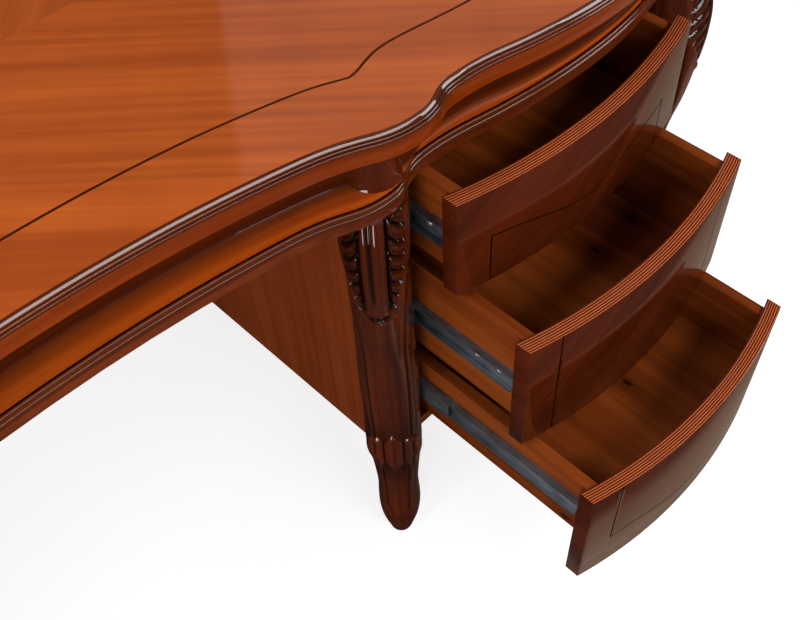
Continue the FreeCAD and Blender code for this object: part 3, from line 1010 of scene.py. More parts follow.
@dataclass(frozen=True)
class EdgeMoulding:
    """Reeded edge of the top: three rounded reeds that fall outwards over a plain fascia.

    Each reed has its share of the slope, its bulge, and how flat its crown is.
    """

    reeds: tuple[Triple, ...] = (
        (0.44, 0.0011, 8.0), (0.28, 0.0011, 3.2), (0.28, 0.0012, 3.2),
    )
    run: float = 0.008
    fall: float = 0.0095
    crown: float = 0.0004
    crease: float = 0.0005
    fascia_setback: float = 0.002
    fascia_drop: float = 0.0008
    fascia_lead: float = 0.0004
    flush: float = 0.00002
    veneer_face: float = 0.00001
    corner: float = 0.0015
    corner_ease: float = 0.3
    quirk: float = 0.0014
    steps: int = 10

    def profile(self) -> list[Point]:
        """Draws the moulding's section.

        Returns:
            Distances outwards and below the top, round the profile.
        """
        slope = math.hypot(self.run, self.fall)
        out, down = self.fall / slope, -self.run / slope
        points = []
        start = 0.0
        for index, (span, bulge, flatness) in enumerate(self.reeds):
            last = index == len(self.reeds) - 1
            for step in range(self.steps + last):
                phase = step / self.steps
                share = start + span * phase
                rise = bulge * (1 - abs(2 * phase - 1) ** flatness) - self.crease
                rise += 4 * self.crown * share * (1 - share)
                drop = max(self.fall * share + down * rise, 0.0)
                points.append((-self.run * (1 - share) + out * rise, drop))
            start += span
        height = TOP_FACE - TOP_UNDERSIDE
        lip, ease = self.fascia_setback, self.corner * self.corner_ease
        return points + [
            (-lip, self.fall + self.fascia_drop),
            (-lip, height - self.corner),
            (-lip - ease, height - ease),
            (-lip - self.corner, height),
            (-MOULDING_WIDTH, height),
            (-MOULDING_WIDTH, 0.0),
            (-self.run - self.quirk, 0.0),
            (-self.run - self.quirk / 2, self.quirk),
        ]

    def build(
        self, mill: SweptMoulding, finish: bpy.types.Material, fascia: bpy.types.Material,
        veneer: bpy.types.Material,
    ) -> None:
        """Sweeps the moulding round the top.

        Args:
            mill: Cuts the moulding.
            finish: The reeds' wood.
            fascia: The plain lower part's wood.
            veneer: The top's veneer, which runs out over the moulding to its reeds.
        """
        path = FRIEZE_LINE.ring(-TOP_OVERHANG)
        piece = mill.sweep("edge_reeding", path, TOP_FACE, self.profile(), finish)
        wear(piece, finish, fascia, veneer)
        for polygon in piece.data.polygons:
            if polygon.center.z < TOP_FACE - self.fall - self.fascia_lead:
                polygon.material_index = 1
            elif polygon.center.z > TOP_FACE - self.flush and polygon.area > self.veneer_face:
                polygon.material_index = 2
        give(piece, "polished_wood", DESK, "top_edge_moulding")


@dataclass(frozen=True)
class WaistBead:
    """Double bead under the frieze."""

    rise: float = 0.007
    count: int = 2
    proud: float = 0.003
    hollow: float = 0.8
    roundness: float = 0.6
    backing: float = 0.002
    steps: int = 10

    def profile(self) -> list[Point]:
        """Draws the beads' section.

        Returns:
            Distances outwards and below the waist's upper face, round the profile.
        """
        points = []
        for index in range(self.count * self.steps + 1):
            phase = (index % self.steps) / self.steps
            bulge = math.sin(math.pi * phase) ** self.roundness
            points.append((-self.proud * (1 - bulge) * self.hollow, self.rise * index / self.steps))
        depth, back = self.rise * self.count, -self.proud - self.backing
        return points + [(-self.proud, depth), (back, depth), (back, 0.0)]

    def build(self, mill: SweptMoulding, finish: bpy.types.Material) -> None:
        """Sweeps the bead round the waist in its wood."""
        piece = mill.sweep("waist_double_bead", BEAD_LINE.ring(0.0), WAIST_TOP, self.profile(), finish)
        give(piece, "polished_wood", DESK, "waist_bead")


@dataclass(frozen=True)
class Frieze:
    """Board under the top, whose sloping foot runs out to the bead."""

    setback: float = 0.010
    foot_setback: float = 0.005
    thickness: float = 0.022
    toe: float = 0.0022
    toe_lead: float = 0.0015
    toe_share: float = 0.03
    splay: float = 0.009
    splay_share: float = 0.90
    splay_sag: float = 0.0016
    splay_steps: int = 6
    # Faces above the splay's top, plus this rise, wear the face finish with its painted shade.
    shade_rise: float = -0.0003
    # Painted shade on the sloping foot: none below this share of the way up, darkest at the upright face.
    painted_shade_start: float = 0.15
    darkest_painted_shade: float = 0.95
    top_gap: float = 0.0002
    # Share of the way to the top's line, distance inwards, and height above the splay.
    fillet: tuple[Triple, ...] = (
        (0.97, 0.0, 0.0012), (1.0, 0.0012, 0.0020), (1.0, 0.0012, 0.0045), (1.0, 0.0, 0.0062),
    )

    def ring(self, share: float, extra: float, height: float) -> np.ndarray:
        """One level line of the board.

        Args:
            share: 0 on the bead's line and 1 on the top's.
            extra: Distance further inwards.
            height: Height of the line.

        Returns:
            Its points.
        """
        counts = [max(a.steps(), b.steps()) for a, b in zip(FRIEZE_LINE.arcs(), BEAD_LINE.arcs())]
        upper = FRIEZE_LINE.ring(self.setback + extra, counts)
        lower = BEAD_LINE.ring(self.foot_setback + extra, counts)
        return lifted(lower * (1 - share) + upper * share, height)

    def levels(self) -> list[Triple]:
        """Draws the board's section.

        Returns:
            The share, extra distance and height of each level line, from the toe up and round.
        """
        splay_top, head = WAIST_TOP + self.splay, TOP_UNDERSIDE - self.top_gap
        levels = [(0.0, 0.0, WAIST_TOP), (self.toe_share, -self.toe_lead, WAIST_TOP + self.toe)]
        for index in range(1, self.splay_steps + 1):
            share = index / self.splay_steps
            sag = self.splay_sag * math.sin(math.pi * share)
            height = WAIST_TOP + self.toe + (self.splay - self.toe) * share
            levels.append((self.toe_share + self.splay_share * share, 0.0, height - sag))
        levels += [(share, extra, splay_top + rise) for share, extra, rise in self.fillet]
        return levels + [(1.0, 0.0, head), (1.0, self.thickness, head), (1.0, self.thickness, WAIST_TOP)]

    def build(self, finish: bpy.types.Material, face: bpy.types.Material) -> None:
        """Builds the board as one ring of smooth faces.

        Args:
            finish: The sloping foot's wood, with painted shade towards the upright face.
            face: The upright face's finish: dark wood with painted shade.
        """
        levels = self.levels()
        rings = [self.ring(*level) for level in levels]
        columns = len(rings[0])
        along = np.concatenate([[0.0], np.cumsum(np.linalg.norm(np.diff(rings[0], axis=0), axis=1))])
        fold = along[columns // 4]
        along = np.abs((along + fold) % (2 * fold) - fold)
        girth = np.cumsum([0.0] + [np.linalg.norm(b[0] - a[0]) for a, b in zip(rings, rings[1:])])
        shares = np.array([level[0] for level in levels])
        # Painted shade: the hollow attribute darkens the foot towards the upright face.
        hollow = self.darkest_painted_shade * smooth_step(shares, self.painted_shade_start, 1.0)
        numbers = {
            "run": np.tile(along, len(rings)),
            "girth": np.repeat(girth, columns),
            "hollow": np.repeat(hollow, columns),
        }
        faces = grid_faces(len(rings), columns, closed_rows=True)
        piece = mesh_object("frieze_boards", np.vstack(rings), faces, numbers)
        tidy_mesh(piece, sharp_degrees=28.0)
        # The upright face wears dark wood with painted shade, as under the overhang.
        wear(piece, finish, face)
        for polygon in piece.data.polygons:
            shaded = polygon.center.z > WAIST_TOP + self.splay + self.shade_rise
            polygon.material_index = 1 if shaded else 0
        nodes = ("frieze_front", "frieze_back", "frieze_left", "frieze_right")
        give(piece, "polished_wood", DESK, *nodes)


# ---------------------------------------------------------------- the top
@dataclass(frozen=True)
class WritingTop:
    """Veneered panel with a fine groove that follows its edge, with a cusp beside each drawer."""

    groove_width: float = 0.0030
    groove_depth: float = 0.0018
    side_x: float = 0.850
    cusp: int = 5
    steps: int = 6
    groove_slopes: Point = (0.2, 0.98)

    def groove_path(self) -> np.ndarray:
        """Draws the groove round the top.

        Returns:
            Its plan points.
        """
        front = [
            (0.0, -0.112), (0.087, -0.110), (0.180, -0.1026), (0.277, -0.088), (0.374, -0.0646),
            (0.4218, -0.0451), (0.433, -0.0466), (0.451, -0.052), (0.468, -0.055), (0.493, -0.054),
            (0.5406, -0.0466), (0.584, -0.041), (0.690, -0.034), (0.760, -0.038), (0.806, -0.052),
            (0.832, -0.074), (0.8445, -0.104), (self.side_x, -0.150), (self.side_x, -DRAWER_PLANE),
        ]
        return four_quarters(self.smoothed(front))

    def smoothed(self, points: Sequence[Point]) -> np.ndarray:
        """Rounds a drawn line, but for its cusp.

        Args:
            points: Distance across the desk and in front of the drawer plane.

        Returns:
            The line's plan points about the middle of the desk.
        """
        drawn = np.array([(x, -DRAWER_PLANE - reach) for x, reach in points])
        line = []
        for run in (drawn[:self.cusp + 1], drawn[self.cusp:]):
            before, ahead = run[0] * 2 - run[1], run[-1] + (run[-1] - run[-2])
            padded = np.vstack([before, run, ahead])
            for a, b, c, d in zip(padded, padded[1:], padded[2:], padded[3:]):
                for t in (step / self.steps for step in range(self.steps)):
                    line.append(
                        0.5 * (2 * b + (c - a) * t + (2 * a - 5 * b + 4 * c - d) * t ** 2
                               + (3 * b - a - 3 * c + d) * t ** 3)
                    )
        line.append(drawn[-1])
        return np.array(line)

    def cutter(self, path: np.ndarray) -> bpy.types.Object:
        """Makes a V-shaped ring that cuts the groove.

        Args:
            path: The groove's plan points.

        Returns:
            The ring.
        """
        side = leftwards(np.roll(path, -1, axis=0) - np.roll(path, 1, axis=0))
        rings = [
            lifted(path + side * out * self.groove_width, TOP_FACE + up * self.groove_depth)
            for out, up in ((-0.5, 0.0), (-0.5, 0.5), (0.5, 0.5), (0.5, 0.0), (0.0, -1.0))
        ]
        faces = grid_faces(len(rings), len(path), closed_rows=True)
        return tidy_mesh(mesh_object("groove_cutter", np.vstack(rings), faces))

    def build(self, finish: bpy.types.Material, groove: bpy.types.Material) -> None:
        """Builds the panel and cuts its groove.

        Args:
            finish: The panel's veneer.
            groove: The stained wood in the groove.
        """
        plan = FRIEZE_LINE.ring(MOULDING_WIDTH - TOP_OVERHANG)
        points = np.vstack([lifted(plan, level) for level in (TOP_UNDERSIDE, TOP_FACE)])
        faces = grid_faces(2, len(plan)) + end_faces(2, len(plan))
        panel = tidy_mesh(mesh_object("veneered_top", points, faces))
        cut_away(panel, self.cutter(self.groove_path()))
        tidy_mesh(panel, sharp_degrees=20.0)
        wear(panel, finish, groove)
        low, high = self.groove_slopes
        for polygon in panel.data.polygons:
            if low < polygon.normal.z < high:
                polygon.material_index = 1
        give(panel, "polished_wood", DESK, "top_panel")


# ---------------------------------------------------------------- what repeats
class Repeater:
    """A Geometry Nodes tree that sets a copy of one shape at each point of a piece.

    Where the copies are turned, each point's way attribute says how far their +Z goes along X.
    """

    def __init__(self, name: str, turned_by_way: bool = False) -> None:
        """Builds the tree.

        Args:
            name: The tree's name.
            turned_by_way: Whether the copies are turned.
        """
        inputs = {"Places": "Geometry", "Shape": "Object", "Finish": "Material"}
        self.tree, sketch, given = new_node_group(name, inputs)
        shape = sketch.add("GeometryNodeObjectInfo", {"Object": given["Shape"]}).outputs["Geometry"]
        values = {"Points": given["Places"], "Instance": shape}
        if turned_by_way:
            way = sketch.add("GeometryNodeInputNamedAttribute", {"Name": "way"}, data_type="FLOAT")
            heading = {"Vector": sketch.joined(way.outputs[0])}
            turn = sketch.add("FunctionNodeAlignRotationToVector", heading, axis="Z")
            values["Rotation"] = turn.outputs[0]
        spread = sketch.add("GeometryNodeInstanceOnPoints", values).outputs[0]
        end_node_group(sketch, spread, given["Finish"])

    def set_out(self, piece: bpy.types.Object, shape: bpy.types.Object, finish: bpy.types.Material) -> None:
        """Turns the points of a piece into copies of a shape in its finish."""
        run_through(piece, self.tree, {"Shape": shape, "Finish": finish})
        tidy_mesh(piece, sharp_degrees=40.0)


@dataclass(frozen=True)
class TurnedBosses:
    """Turned columns with a flared foot that stand on the waist, one over each leg."""

    radius: float = 0.035
    height: float = 0.0469
    sides: int = 64

    def one(self) -> bpy.types.Object:
        """Turns one boss about the origin.

        Returns:
            The boss.
        """
        outline = (
            (0.0, 0.0), (0.0347, 0.0), (0.0349, 0.0014), (0.0342, 0.0034), (0.0329, 0.0062),
            (0.0317, 0.0100), (0.0309, 0.0150), (0.0305, 0.0220), (0.0305, 0.0300),
            (0.0309, 0.0380), (0.0317, 0.0440), (0.0324, self.height), (0.0, self.height),
        )
        angles = np.linspace(0, 2 * math.pi, self.sides, endpoint=False)
        numbers = {
            "run": np.repeat([level for _, level in outline], self.sides),
            "girth": np.tile(angles * self.radius, len(outline)),
        }
        faces = grid_faces(len(outline), self.sides)
        return tidy_mesh(mesh_object("one_boss", turned(outline, self.sides), faces, numbers))

    def build(self, finish: bpy.types.Material) -> None:
        """Stands the eight bosses on the waist.

        Args:
            finish: Their wood.
        """
        low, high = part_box("corner_bosses")
        reach_y = (high.y - low.y) / 2 - self.radius
        places = [
            (side * x, MIDDLE_Y + end * reach_y, low.z)
            for x in (CarvedLegs.inner_x, high.x - self.radius) for side in (1, -1) for end in (1, -1)
        ]
        piece = mesh_object("turned_bosses", np.array(places), [])
        boss = self.one()
        Repeater("repeated_bosses").set_out(piece, boss, finish)
        bpy.data.objects.remove(boss)
        give(piece, "polished_wood", DESK, "corner_bosses")


# ---------------------------------------------------------------- legs
# In the carvings, places across the front of a leg run from -1 to 1, and a pair is either the start
# and end of a smooth fade or the centre and half width of a hump. Depths are in metres inwards, so
# what stands out is negative. Heights are in metres above the floor.
def arch(value: np.ndarray) -> np.ndarray:
    """A half circle's height over -1 to 1, and 0 beyond."""
    return np.sqrt(np.clip(1 - value ** 2, 0, 1))


def between(value: np.ndarray, rise: Point, fall: Point) -> np.ndarray:
    """Fades in over the first range and out over the second."""
    return smooth_step(value, *rise) * (1 - smooth_step(value, *fall))


@dataclass(frozen=True)
class KneeCarving:
    """A lobe and reeds between two rows of leaf curls. Fades up the knee are shares of its height."""

    foot: float = 0.537
    height: float = 0.140
    tongue: float = 0.22
    edge_half: float = 0.48
    edge_growth: float = 0.42
    edge_fade: Point = (0.05, 0.55)
    body_fade: Point = (0.0, 0.06)
    body_depth: float = 0.0036
    rim: Point = (-0.03, 0.04)
    rim_fade: Point = (-0.03, 0.06)
    rim_depth: float = -0.0011
    lobe_half: float = 0.35
    lobe_fade: Point = (0.03, 0.14)
    lobe_depth: float = -0.0048
    crease: Point = (-0.07, 0.070)
    crease_fade: Point = (0.16, 0.36)
    crease_depth: float = 0.0042
    channel: Point = (0.38, 0.035)
    channel_fade: Point = (0.14, 0.26)
    channel_depth: float = 0.0036
    leaf_side_fade: Point = (0.40, 0.45)
    leaf_edge_fade: Point = (0.0, 0.07)
    leaf_foot_fade: Point = (0.10, 0.2)
    curl_foot: float = 0.549
    curl_pitch: float = 0.0185
    curl_side: float = 0.42
    curl_droop: float = 3.2
    curl_lift: float = 1.5
    curl_roundness: float = 0.6
    curl_low: float = 0.45
    curl_depth: float = -0.0040
    cut_half: float = 0.09
    cut_depth: float = 0.0046
    vein: Point = (0.45, 0.08)
    vein_fade: Point = (0.46, 0.56)
    vein_depth: float = 0.0020
    tip_inset: float = 0.05
    tip_half: float = 0.05
    tip: Point = (0.35, 0.2)
    tip_depth: float = -0.0012
    scroll_aside: Point = (0.40, 0.10)
    scroll_up: Point = (0.10, 0.055)
    scroll_depth: float = -0.0030

    def leaf(self, across: np.ndarray, edge: np.ndarray, z: np.ndarray) -> np.ndarray:
        """Depth of the leaf's curls, one above another.

        Args:
            across: Distance from the middle of the front, 0 to 1.
            edge: How far out the carving reaches.
            z: Heights in metres.

        Returns:
            Depths inwards in metres.
        """
        drop = np.clip(across - self.curl_side, 0.0, 1.0)
        phase = (z - self.curl_foot) / self.curl_pitch + self.curl_droop * drop - self.curl_lift * drop ** 2
        share = phase - np.floor(phase)
        bulge = np.sin(math.pi * share) ** self.curl_roundness
        curl = bulge * (self.curl_low + (1 - self.curl_low) * share)
        cut = swell(share, 0.0, self.cut_half) + swell(share, 1.0, self.cut_half)
        vein = swell(share, *self.vein) * smooth_step(across, *self.vein_fade)
        tip = swell(across, edge - self.tip_inset, self.tip_half) * swell(share, *self.tip)
        return self.cut_depth * cut + self.vein_depth * vein + self.curl_depth * curl + self.tip_depth * tip

    def depth(self, side: np.ndarray, z: np.ndarray) -> np.ndarray:
        """Depth of the whole carving.

        Args:
            side: Places across the front of the leg.
            z: Heights in metres.

        Returns:
            Depths inwards in metres.
        """
        across = np.abs(side)
        up = (z - self.foot) / self.height
        tongue = arch(1 - np.clip(up / self.tongue, 0, 1))
        edge = (self.edge_half + self.edge_growth * smooth_step(up, *self.edge_fade)) * tongue
        inside = smooth_step(edge - across, *self.body_fade) * (up > 0)
        rim = swell(edge - across, *self.rim) * smooth_step(up, *self.rim_fade)
        lobe = arch(across / self.lobe_half) * smooth_step(up, *self.lobe_fade)
        crease = swell(side, *self.crease) * smooth_step(up, *self.crease_fade)
        channel = swell(across, *self.channel) * smooth_step(up, *self.channel_fade)
        on_leaf = smooth_step(across, *self.leaf_side_fade)
        on_leaf = on_leaf * smooth_step(edge - across, *self.leaf_edge_fade)
        on_leaf = on_leaf * smooth_step(up, *self.leaf_foot_fade)
        scroll = swell(across, *self.scroll_aside) * swell(up, *self.scroll_up)
        depth = self.body_depth * inside + self.rim_depth * rim + self.lobe_depth * lobe * inside
        depth += self.crease_depth * crease
        depth += self.channel_depth * channel * inside
        depth += on_leaf * self.leaf(across, edge, z)
        return depth + self.scroll_depth * scroll


@dataclass(frozen=True)
class ShaftLines:
    """Two long lines at each side that set off the shaft's raised edges, and a short one inside."""

    rise: Point = (0.250, 0.262)
    fall: Point = (0.575, 0.62)
    aside: float = 0.68
    drift: float = 0.20
    drift_fade: Point = (0.42, 0.60)
    line_half: float = 0.038
    line_depth: float = 0.0034
    outer_gap: float = 0.20
    outer_limit: float = 0.955
    outer_half: float = 0.030
    outer_depth: float = 0.0022
    inner_rise: Point = (0.430, 0.450)
    inner_fall: Point = (0.520, 0.540)
    inner_aside: float = 0.46
    inner_lean: float = 1.2
    inner_half: float = 0.022
    inner_depth: float = 0.0014

    def depth(self, side: np.ndarray, z: np.ndarray) -> np.ndarray:
        """Depth of the lines.

        Args:
            side: Places across the front of the leg.
            z: Heights in metres.

        Returns:
            Depths inwards in metres.
        """
        across = np.abs(side)
        aside = self.aside + self.drift * smooth_step(z, *self.drift_fade)
        line = swell(across, aside, self.line_half)
        outer = swell(across, np.minimum(aside + self.outer_gap, self.outer_limit), self.outer_half)
        lean = self.inner_aside + self.inner_lean * (z - self.inner_rise[0])
        inner = swell(across, lean, self.inner_half) * (side > 0)
        both = (self.line_depth * line + self.outer_depth * outer) * between(z, self.rise, self.fall)
        return both + self.inner_depth * inner * between(z, self.inner_rise, self.inner_fall)


@dataclass(frozen=True)
class AnkleCarving:
    """A leaf of three folds round the ankle and, under it, a panelled foot."""

    head: float = 0.252
    head_scallop: float = 0.011
    head_droop: float = 0.012
    foot: float = 0.168
    foot_scallop: float = 0.028
    foot_droop: float = 0.010
    scallops: float = 1.5
    edge_fade: Point = (0.0, 0.003)
    waist: Point = (0.212, 0.062)
    waist_depth: float = 0.0032
    folds: tuple[Point, ...] = ((0.34, 0.035), (0.70, 0.04))
    fold_depth: float = 0.0032
    spine: Point = (0.0, 0.025)
    spine_fade: Point = (0.175, 0.195)
    spine_depth: float = 0.0014
    curl_drop: float = 0.006
    curl_half: float = 0.0045
    curl_depth: float = -0.0030
    wing_aside: Point = (0.88, 0.10)
    wing_up: Point = (0.214, 0.017)
    wing_depth: float = -0.0030
    bead_aside: Point = (0.62, 0.07)
    bead_up: Point = (0.2135, 0.0065)
    bead_depth: float = -0.0024
    below: Point = (0.165, 0.176)
    panel_from: float = 0.050
    panel_foot: float = 0.052
    panel_round: float = 0.050
    panel_aside: float = 0.56
    panel_half: float = 0.045
    panel_depth: float = 0.0022
    flank: Point = (0.86, 0.04)
    flank_fade: Point = (0.040, 0.070)
    flank_depth: float = 0.0016
    pad: Point = (0.044, 0.006)
    pad_aside: float = 0.60
    pad_depth: float = 0.0010

    def depth(self, side: np.ndarray, z: np.ndarray) -> np.ndarray:
        """Depth of the leaf and the foot.

        Args:
            side: Places across the front of the leg.
            z: Heights in metres.

        Returns:
            Depths inwards in metres.
        """
        across = np.abs(side)
        bumps = np.abs(np.cos(self.scallops * math.pi * side))
        dips = np.abs(np.sin(self.scallops * math.pi * side))
        head = self.head + self.head_scallop * bumps - self.head_droop * across
        foot = self.foot + self.foot_scallop * dips - self.foot_droop * across
        on_leaf = smooth_step(head - z, *self.edge_fade) * smooth_step(z - foot, *self.edge_fade)
        folds = sum(swell(across, *fold) for fold in self.folds)
        spine = swell(side, *self.spine) * smooth_step(z, *self.spine_fade)
        depth = self.waist_depth * (1 - on_leaf) * swell(z, *self.waist)
        depth += on_leaf * (self.fold_depth * folds + self.spine_depth * spine)
        depth += self.curl_depth * bumps * swell(z, head - self.curl_drop, self.curl_half)
        depth += self.wing_depth * swell(across, *self.wing_aside) * swell(z, *self.wing_up)
        depth += self.bead_depth * swell(across, *self.bead_aside) * swell(z, *self.bead_up)
        aside = self.panel_aside * arch(1 - np.clip((z - self.panel_foot) / self.panel_round, 0, 1))
        panel = swell(across - aside, 0.0, self.panel_half) * (z > self.panel_from)
        flank = swell(across, *self.flank) * smooth_step(z, *self.flank_fade)
        pad = swell(z, *self.pad) * (across < self.pad_aside)
        foot_depth = self.panel_depth * panel + self.flank_depth * flank + self.pad_depth * pad
        return depth + (1 - smooth_step(z, *self.below)) * foot_depth


@dataclass(frozen=True)
class CarvedLegs:
    """Eight cabriole legs with a leaf-carved knee and ankle.

    A leg is drawn about its upright axis facing +X, as loops of points from the floor up. The
    sections give the share of the height, half the width, and the reach in front and behind.
    """

    inner_x: float = 0.402
    outer_x: float = 0.880
    axis_y: float = 0.4183
    height: float = 0.677
    roundness: float = 0.93
    proud: float = 0.0020
    deepest: float = 0.012
    # Carving this deep or deeper gets the full painted shade in its recesses.
    painted_shade_depth: float = 0.0030
    grain_radius: float = 0.032
    front_fade: Point = (0.02, 0.30)
    line_reach: float = -0.2
    clearance: float = 0.0001
    box_slack: float = 1.5
    rows: int = 340
    columns: int = 156
    front_share: float = 0.68
    knee: KneeCarving = KneeCarving()
    shaft: ShaftLines = ShaftLines()
    ankle: AnkleCarving = AnkleCarving()
    sections: tuple[tuple[float, float, float, float], ...] = (
        (0.0, 0.0200, 0.0330, 0.0170), (0.04, 0.0270, 0.0375, 0.0220), (0.17, 0.0285, 0.0290, 0.0250),
        (0.265, 0.0335, 0.0305, 0.0280), (0.32, 0.0365, 0.0350, 0.0295), (0.40, 0.0362, 0.0290, 0.0295),
        (0.58, 0.0362, 0.0320, 0.0305), (0.67, 0.0345, 0.0400, 0.0310), (0.739, 0.0340, 0.0520, 0.0310),
        (0.80, 0.0345, 0.0585, 0.0310), (0.88, 0.0355, 0.0640, 0.0310), (0.95, 0.0370, 0.0600, 0.0310),
        (1.0, 0.0360, 0.0460, 0.0300),
    )

    def smooth_sections(self, shares: np.ndarray) -> list[np.ndarray]:
        """Reads half width and both reaches smoothly between the given sections.

        Args:
            shares: Shares of the height.

        Returns:
            Half width, reach in front and reach behind.
        """
        table = np.array(self.sections)
        knots = table[:, 0]
        slot = np.clip(np.searchsorted(knots, shares, side="right") - 1, 0, len(knots) - 2)
        span = knots[slot + 1] - knots[slot]
        t = (shares - knots[slot]) / span
        out = []
        for column in table.T[1:]:
            slopes = np.gradient(column, knots)
            out.append(
                column[slot] * (1 + 2 * t) * (1 - t) ** 2 + slopes[slot] * span * t * (1 - t) ** 2
                + column[slot + 1] * t ** 2 * (3 - 2 * t) - slopes[slot + 1] * span * t ** 2 * (1 - t)
            )
        return out

    def points(self) -> tuple[np.ndarray, Numbers]:
        """Places the points of one leg.

        Returns:
            The points and their number attributes.
        """
        shares = np.linspace(0, 1, self.rows)
        front = int(self.columns * self.front_share)
        angles = np.concatenate([
            np.linspace(-math.pi / 2, math.pi / 2, front, endpoint=False),
            np.linspace(math.pi / 2, 3 * math.pi / 2, self.columns - front, endpoint=False),
        ])[None, :]
        half, ahead, behind = (part[:, None] for part in self.smooth_sections(shares))
        forward, aside = np.cos(angles), np.sin(angles)
        z = shares[:, None] * self.height + 0 * angles
        side = aside + 0 * z
        faces_front = smooth_step(forward + 0 * z, *self.front_fade)
        lines = self.shaft.depth(side, z)
        depth = faces_front * (self.knee.depth(side, z) + lines + self.ankle.depth(side, z))
        depth += lines * (1 - faces_front) * (forward > self.line_reach)
        x = np.where(forward > 0, ahead, behind) * np.sign(forward) * np.abs(forward) ** self.roundness
        y = half * np.sign(aside) * np.abs(aside) ** self.roundness
        kept = 1 - np.clip(depth, -self.proud, self.deepest) / np.hypot(x, y)
        numbers = {
            "run": z.ravel(),
            "girth": (angles * self.grain_radius + 0 * z).ravel(),
            # Painted shade: the deeper the carving, the darker its colour.
            "hollow": np.clip(depth / self.painted_shade_depth, 0, 1).ravel(),
        }
        return np.column_stack([(x * kept).ravel(), (y * kept).ravel(), z.ravel()]), numbers

    def build(self, finish: bpy.types.Material) -> None:
        """Places the eight legs, notched round the carcass's corners.

        Args:
            finish: Their wood.
        """
        local, numbers = self.points()
        faces = grid_faces(self.rows, self.columns) + end_faces(self.rows, self.columns)
        for place, axis_x, heading in (("inner", self.inner_x, -135.0), ("outer", self.outer_x, -45.0)):
            angle = math.radians(heading)
            x = local[:, 0] * math.cos(angle) - local[:, 1] * math.sin(angle) + axis_x
            y = local[:, 0] * math.sin(angle) + local[:, 1] * math.cos(angle) - self.axis_y
            leg = self.notched(np.column_stack([x, y, local[:, 2]]))
            for side, sign in SIDES:
                for end, flip in (("front", 1.0), ("rear", -1.0)):
                    name = f"leg_{side}_{end}_{place}"
                    placed = self.boxed(name, leg * (sign, flip, 1.0))
                    piece = mesh_object("carved_" + name, placed, faces, numbers)
                    tidy_mesh(piece, sharp_degrees=60.0)
                    wear(piece, finish)
                    give(piece, "carved_wood", DESK, name)

    def notched(self, leg: np.ndarray) -> np.ndarray:
        """Moves what would stand in the carcass out to its nearest face.

        Args:
            leg: Points of a front right leg about the middle of the desk.

        Returns:
            The points, clear of the carcass.
        """
        low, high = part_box("right_kneehole_panel")[0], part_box("right_outer_panel")[1]
        x0, x1 = low.x - self.clearance, high.x + self.clearance
        y0 = low.y - MIDDLE_Y - self.clearance
        x, y, z = leg.T
        inside = (x > x0) & (x < x1) & (y > y0) & (z > low.z - self.clearance)
        to_left, to_right, to_front = x - x0, x1 - x, y - y0
        nearest = np.minimum(np.minimum(to_left, to_right), to_front)
        sideways = inside & (to_front != nearest)
        clear_x = np.where(sideways & (to_left == nearest), x0, x)
        clear_x = np.where(sideways & (to_right == nearest), x1, clear_x)
        return np.column_stack([clear_x, np.where(inside & (to_front == nearest), y0, y), z])

    def boxed(self, node: str, points: np.ndarray) -> np.ndarray:
        """Sets a leg in its place and keeps it to its node's box, but for what stands proud.

        Args:
            node: The leg's node.
            points: Its points about the middle of the desk.

        Returns:
            The placed points.
        """
        low, high = (np.array(corner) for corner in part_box(node))
        spare = np.array((1.0, 1.0, 0.0)) * (self.box_slack * self.proud)
        return np.clip(points + (0.0, MIDDLE_Y, 0.0), low - spare, high + spare)


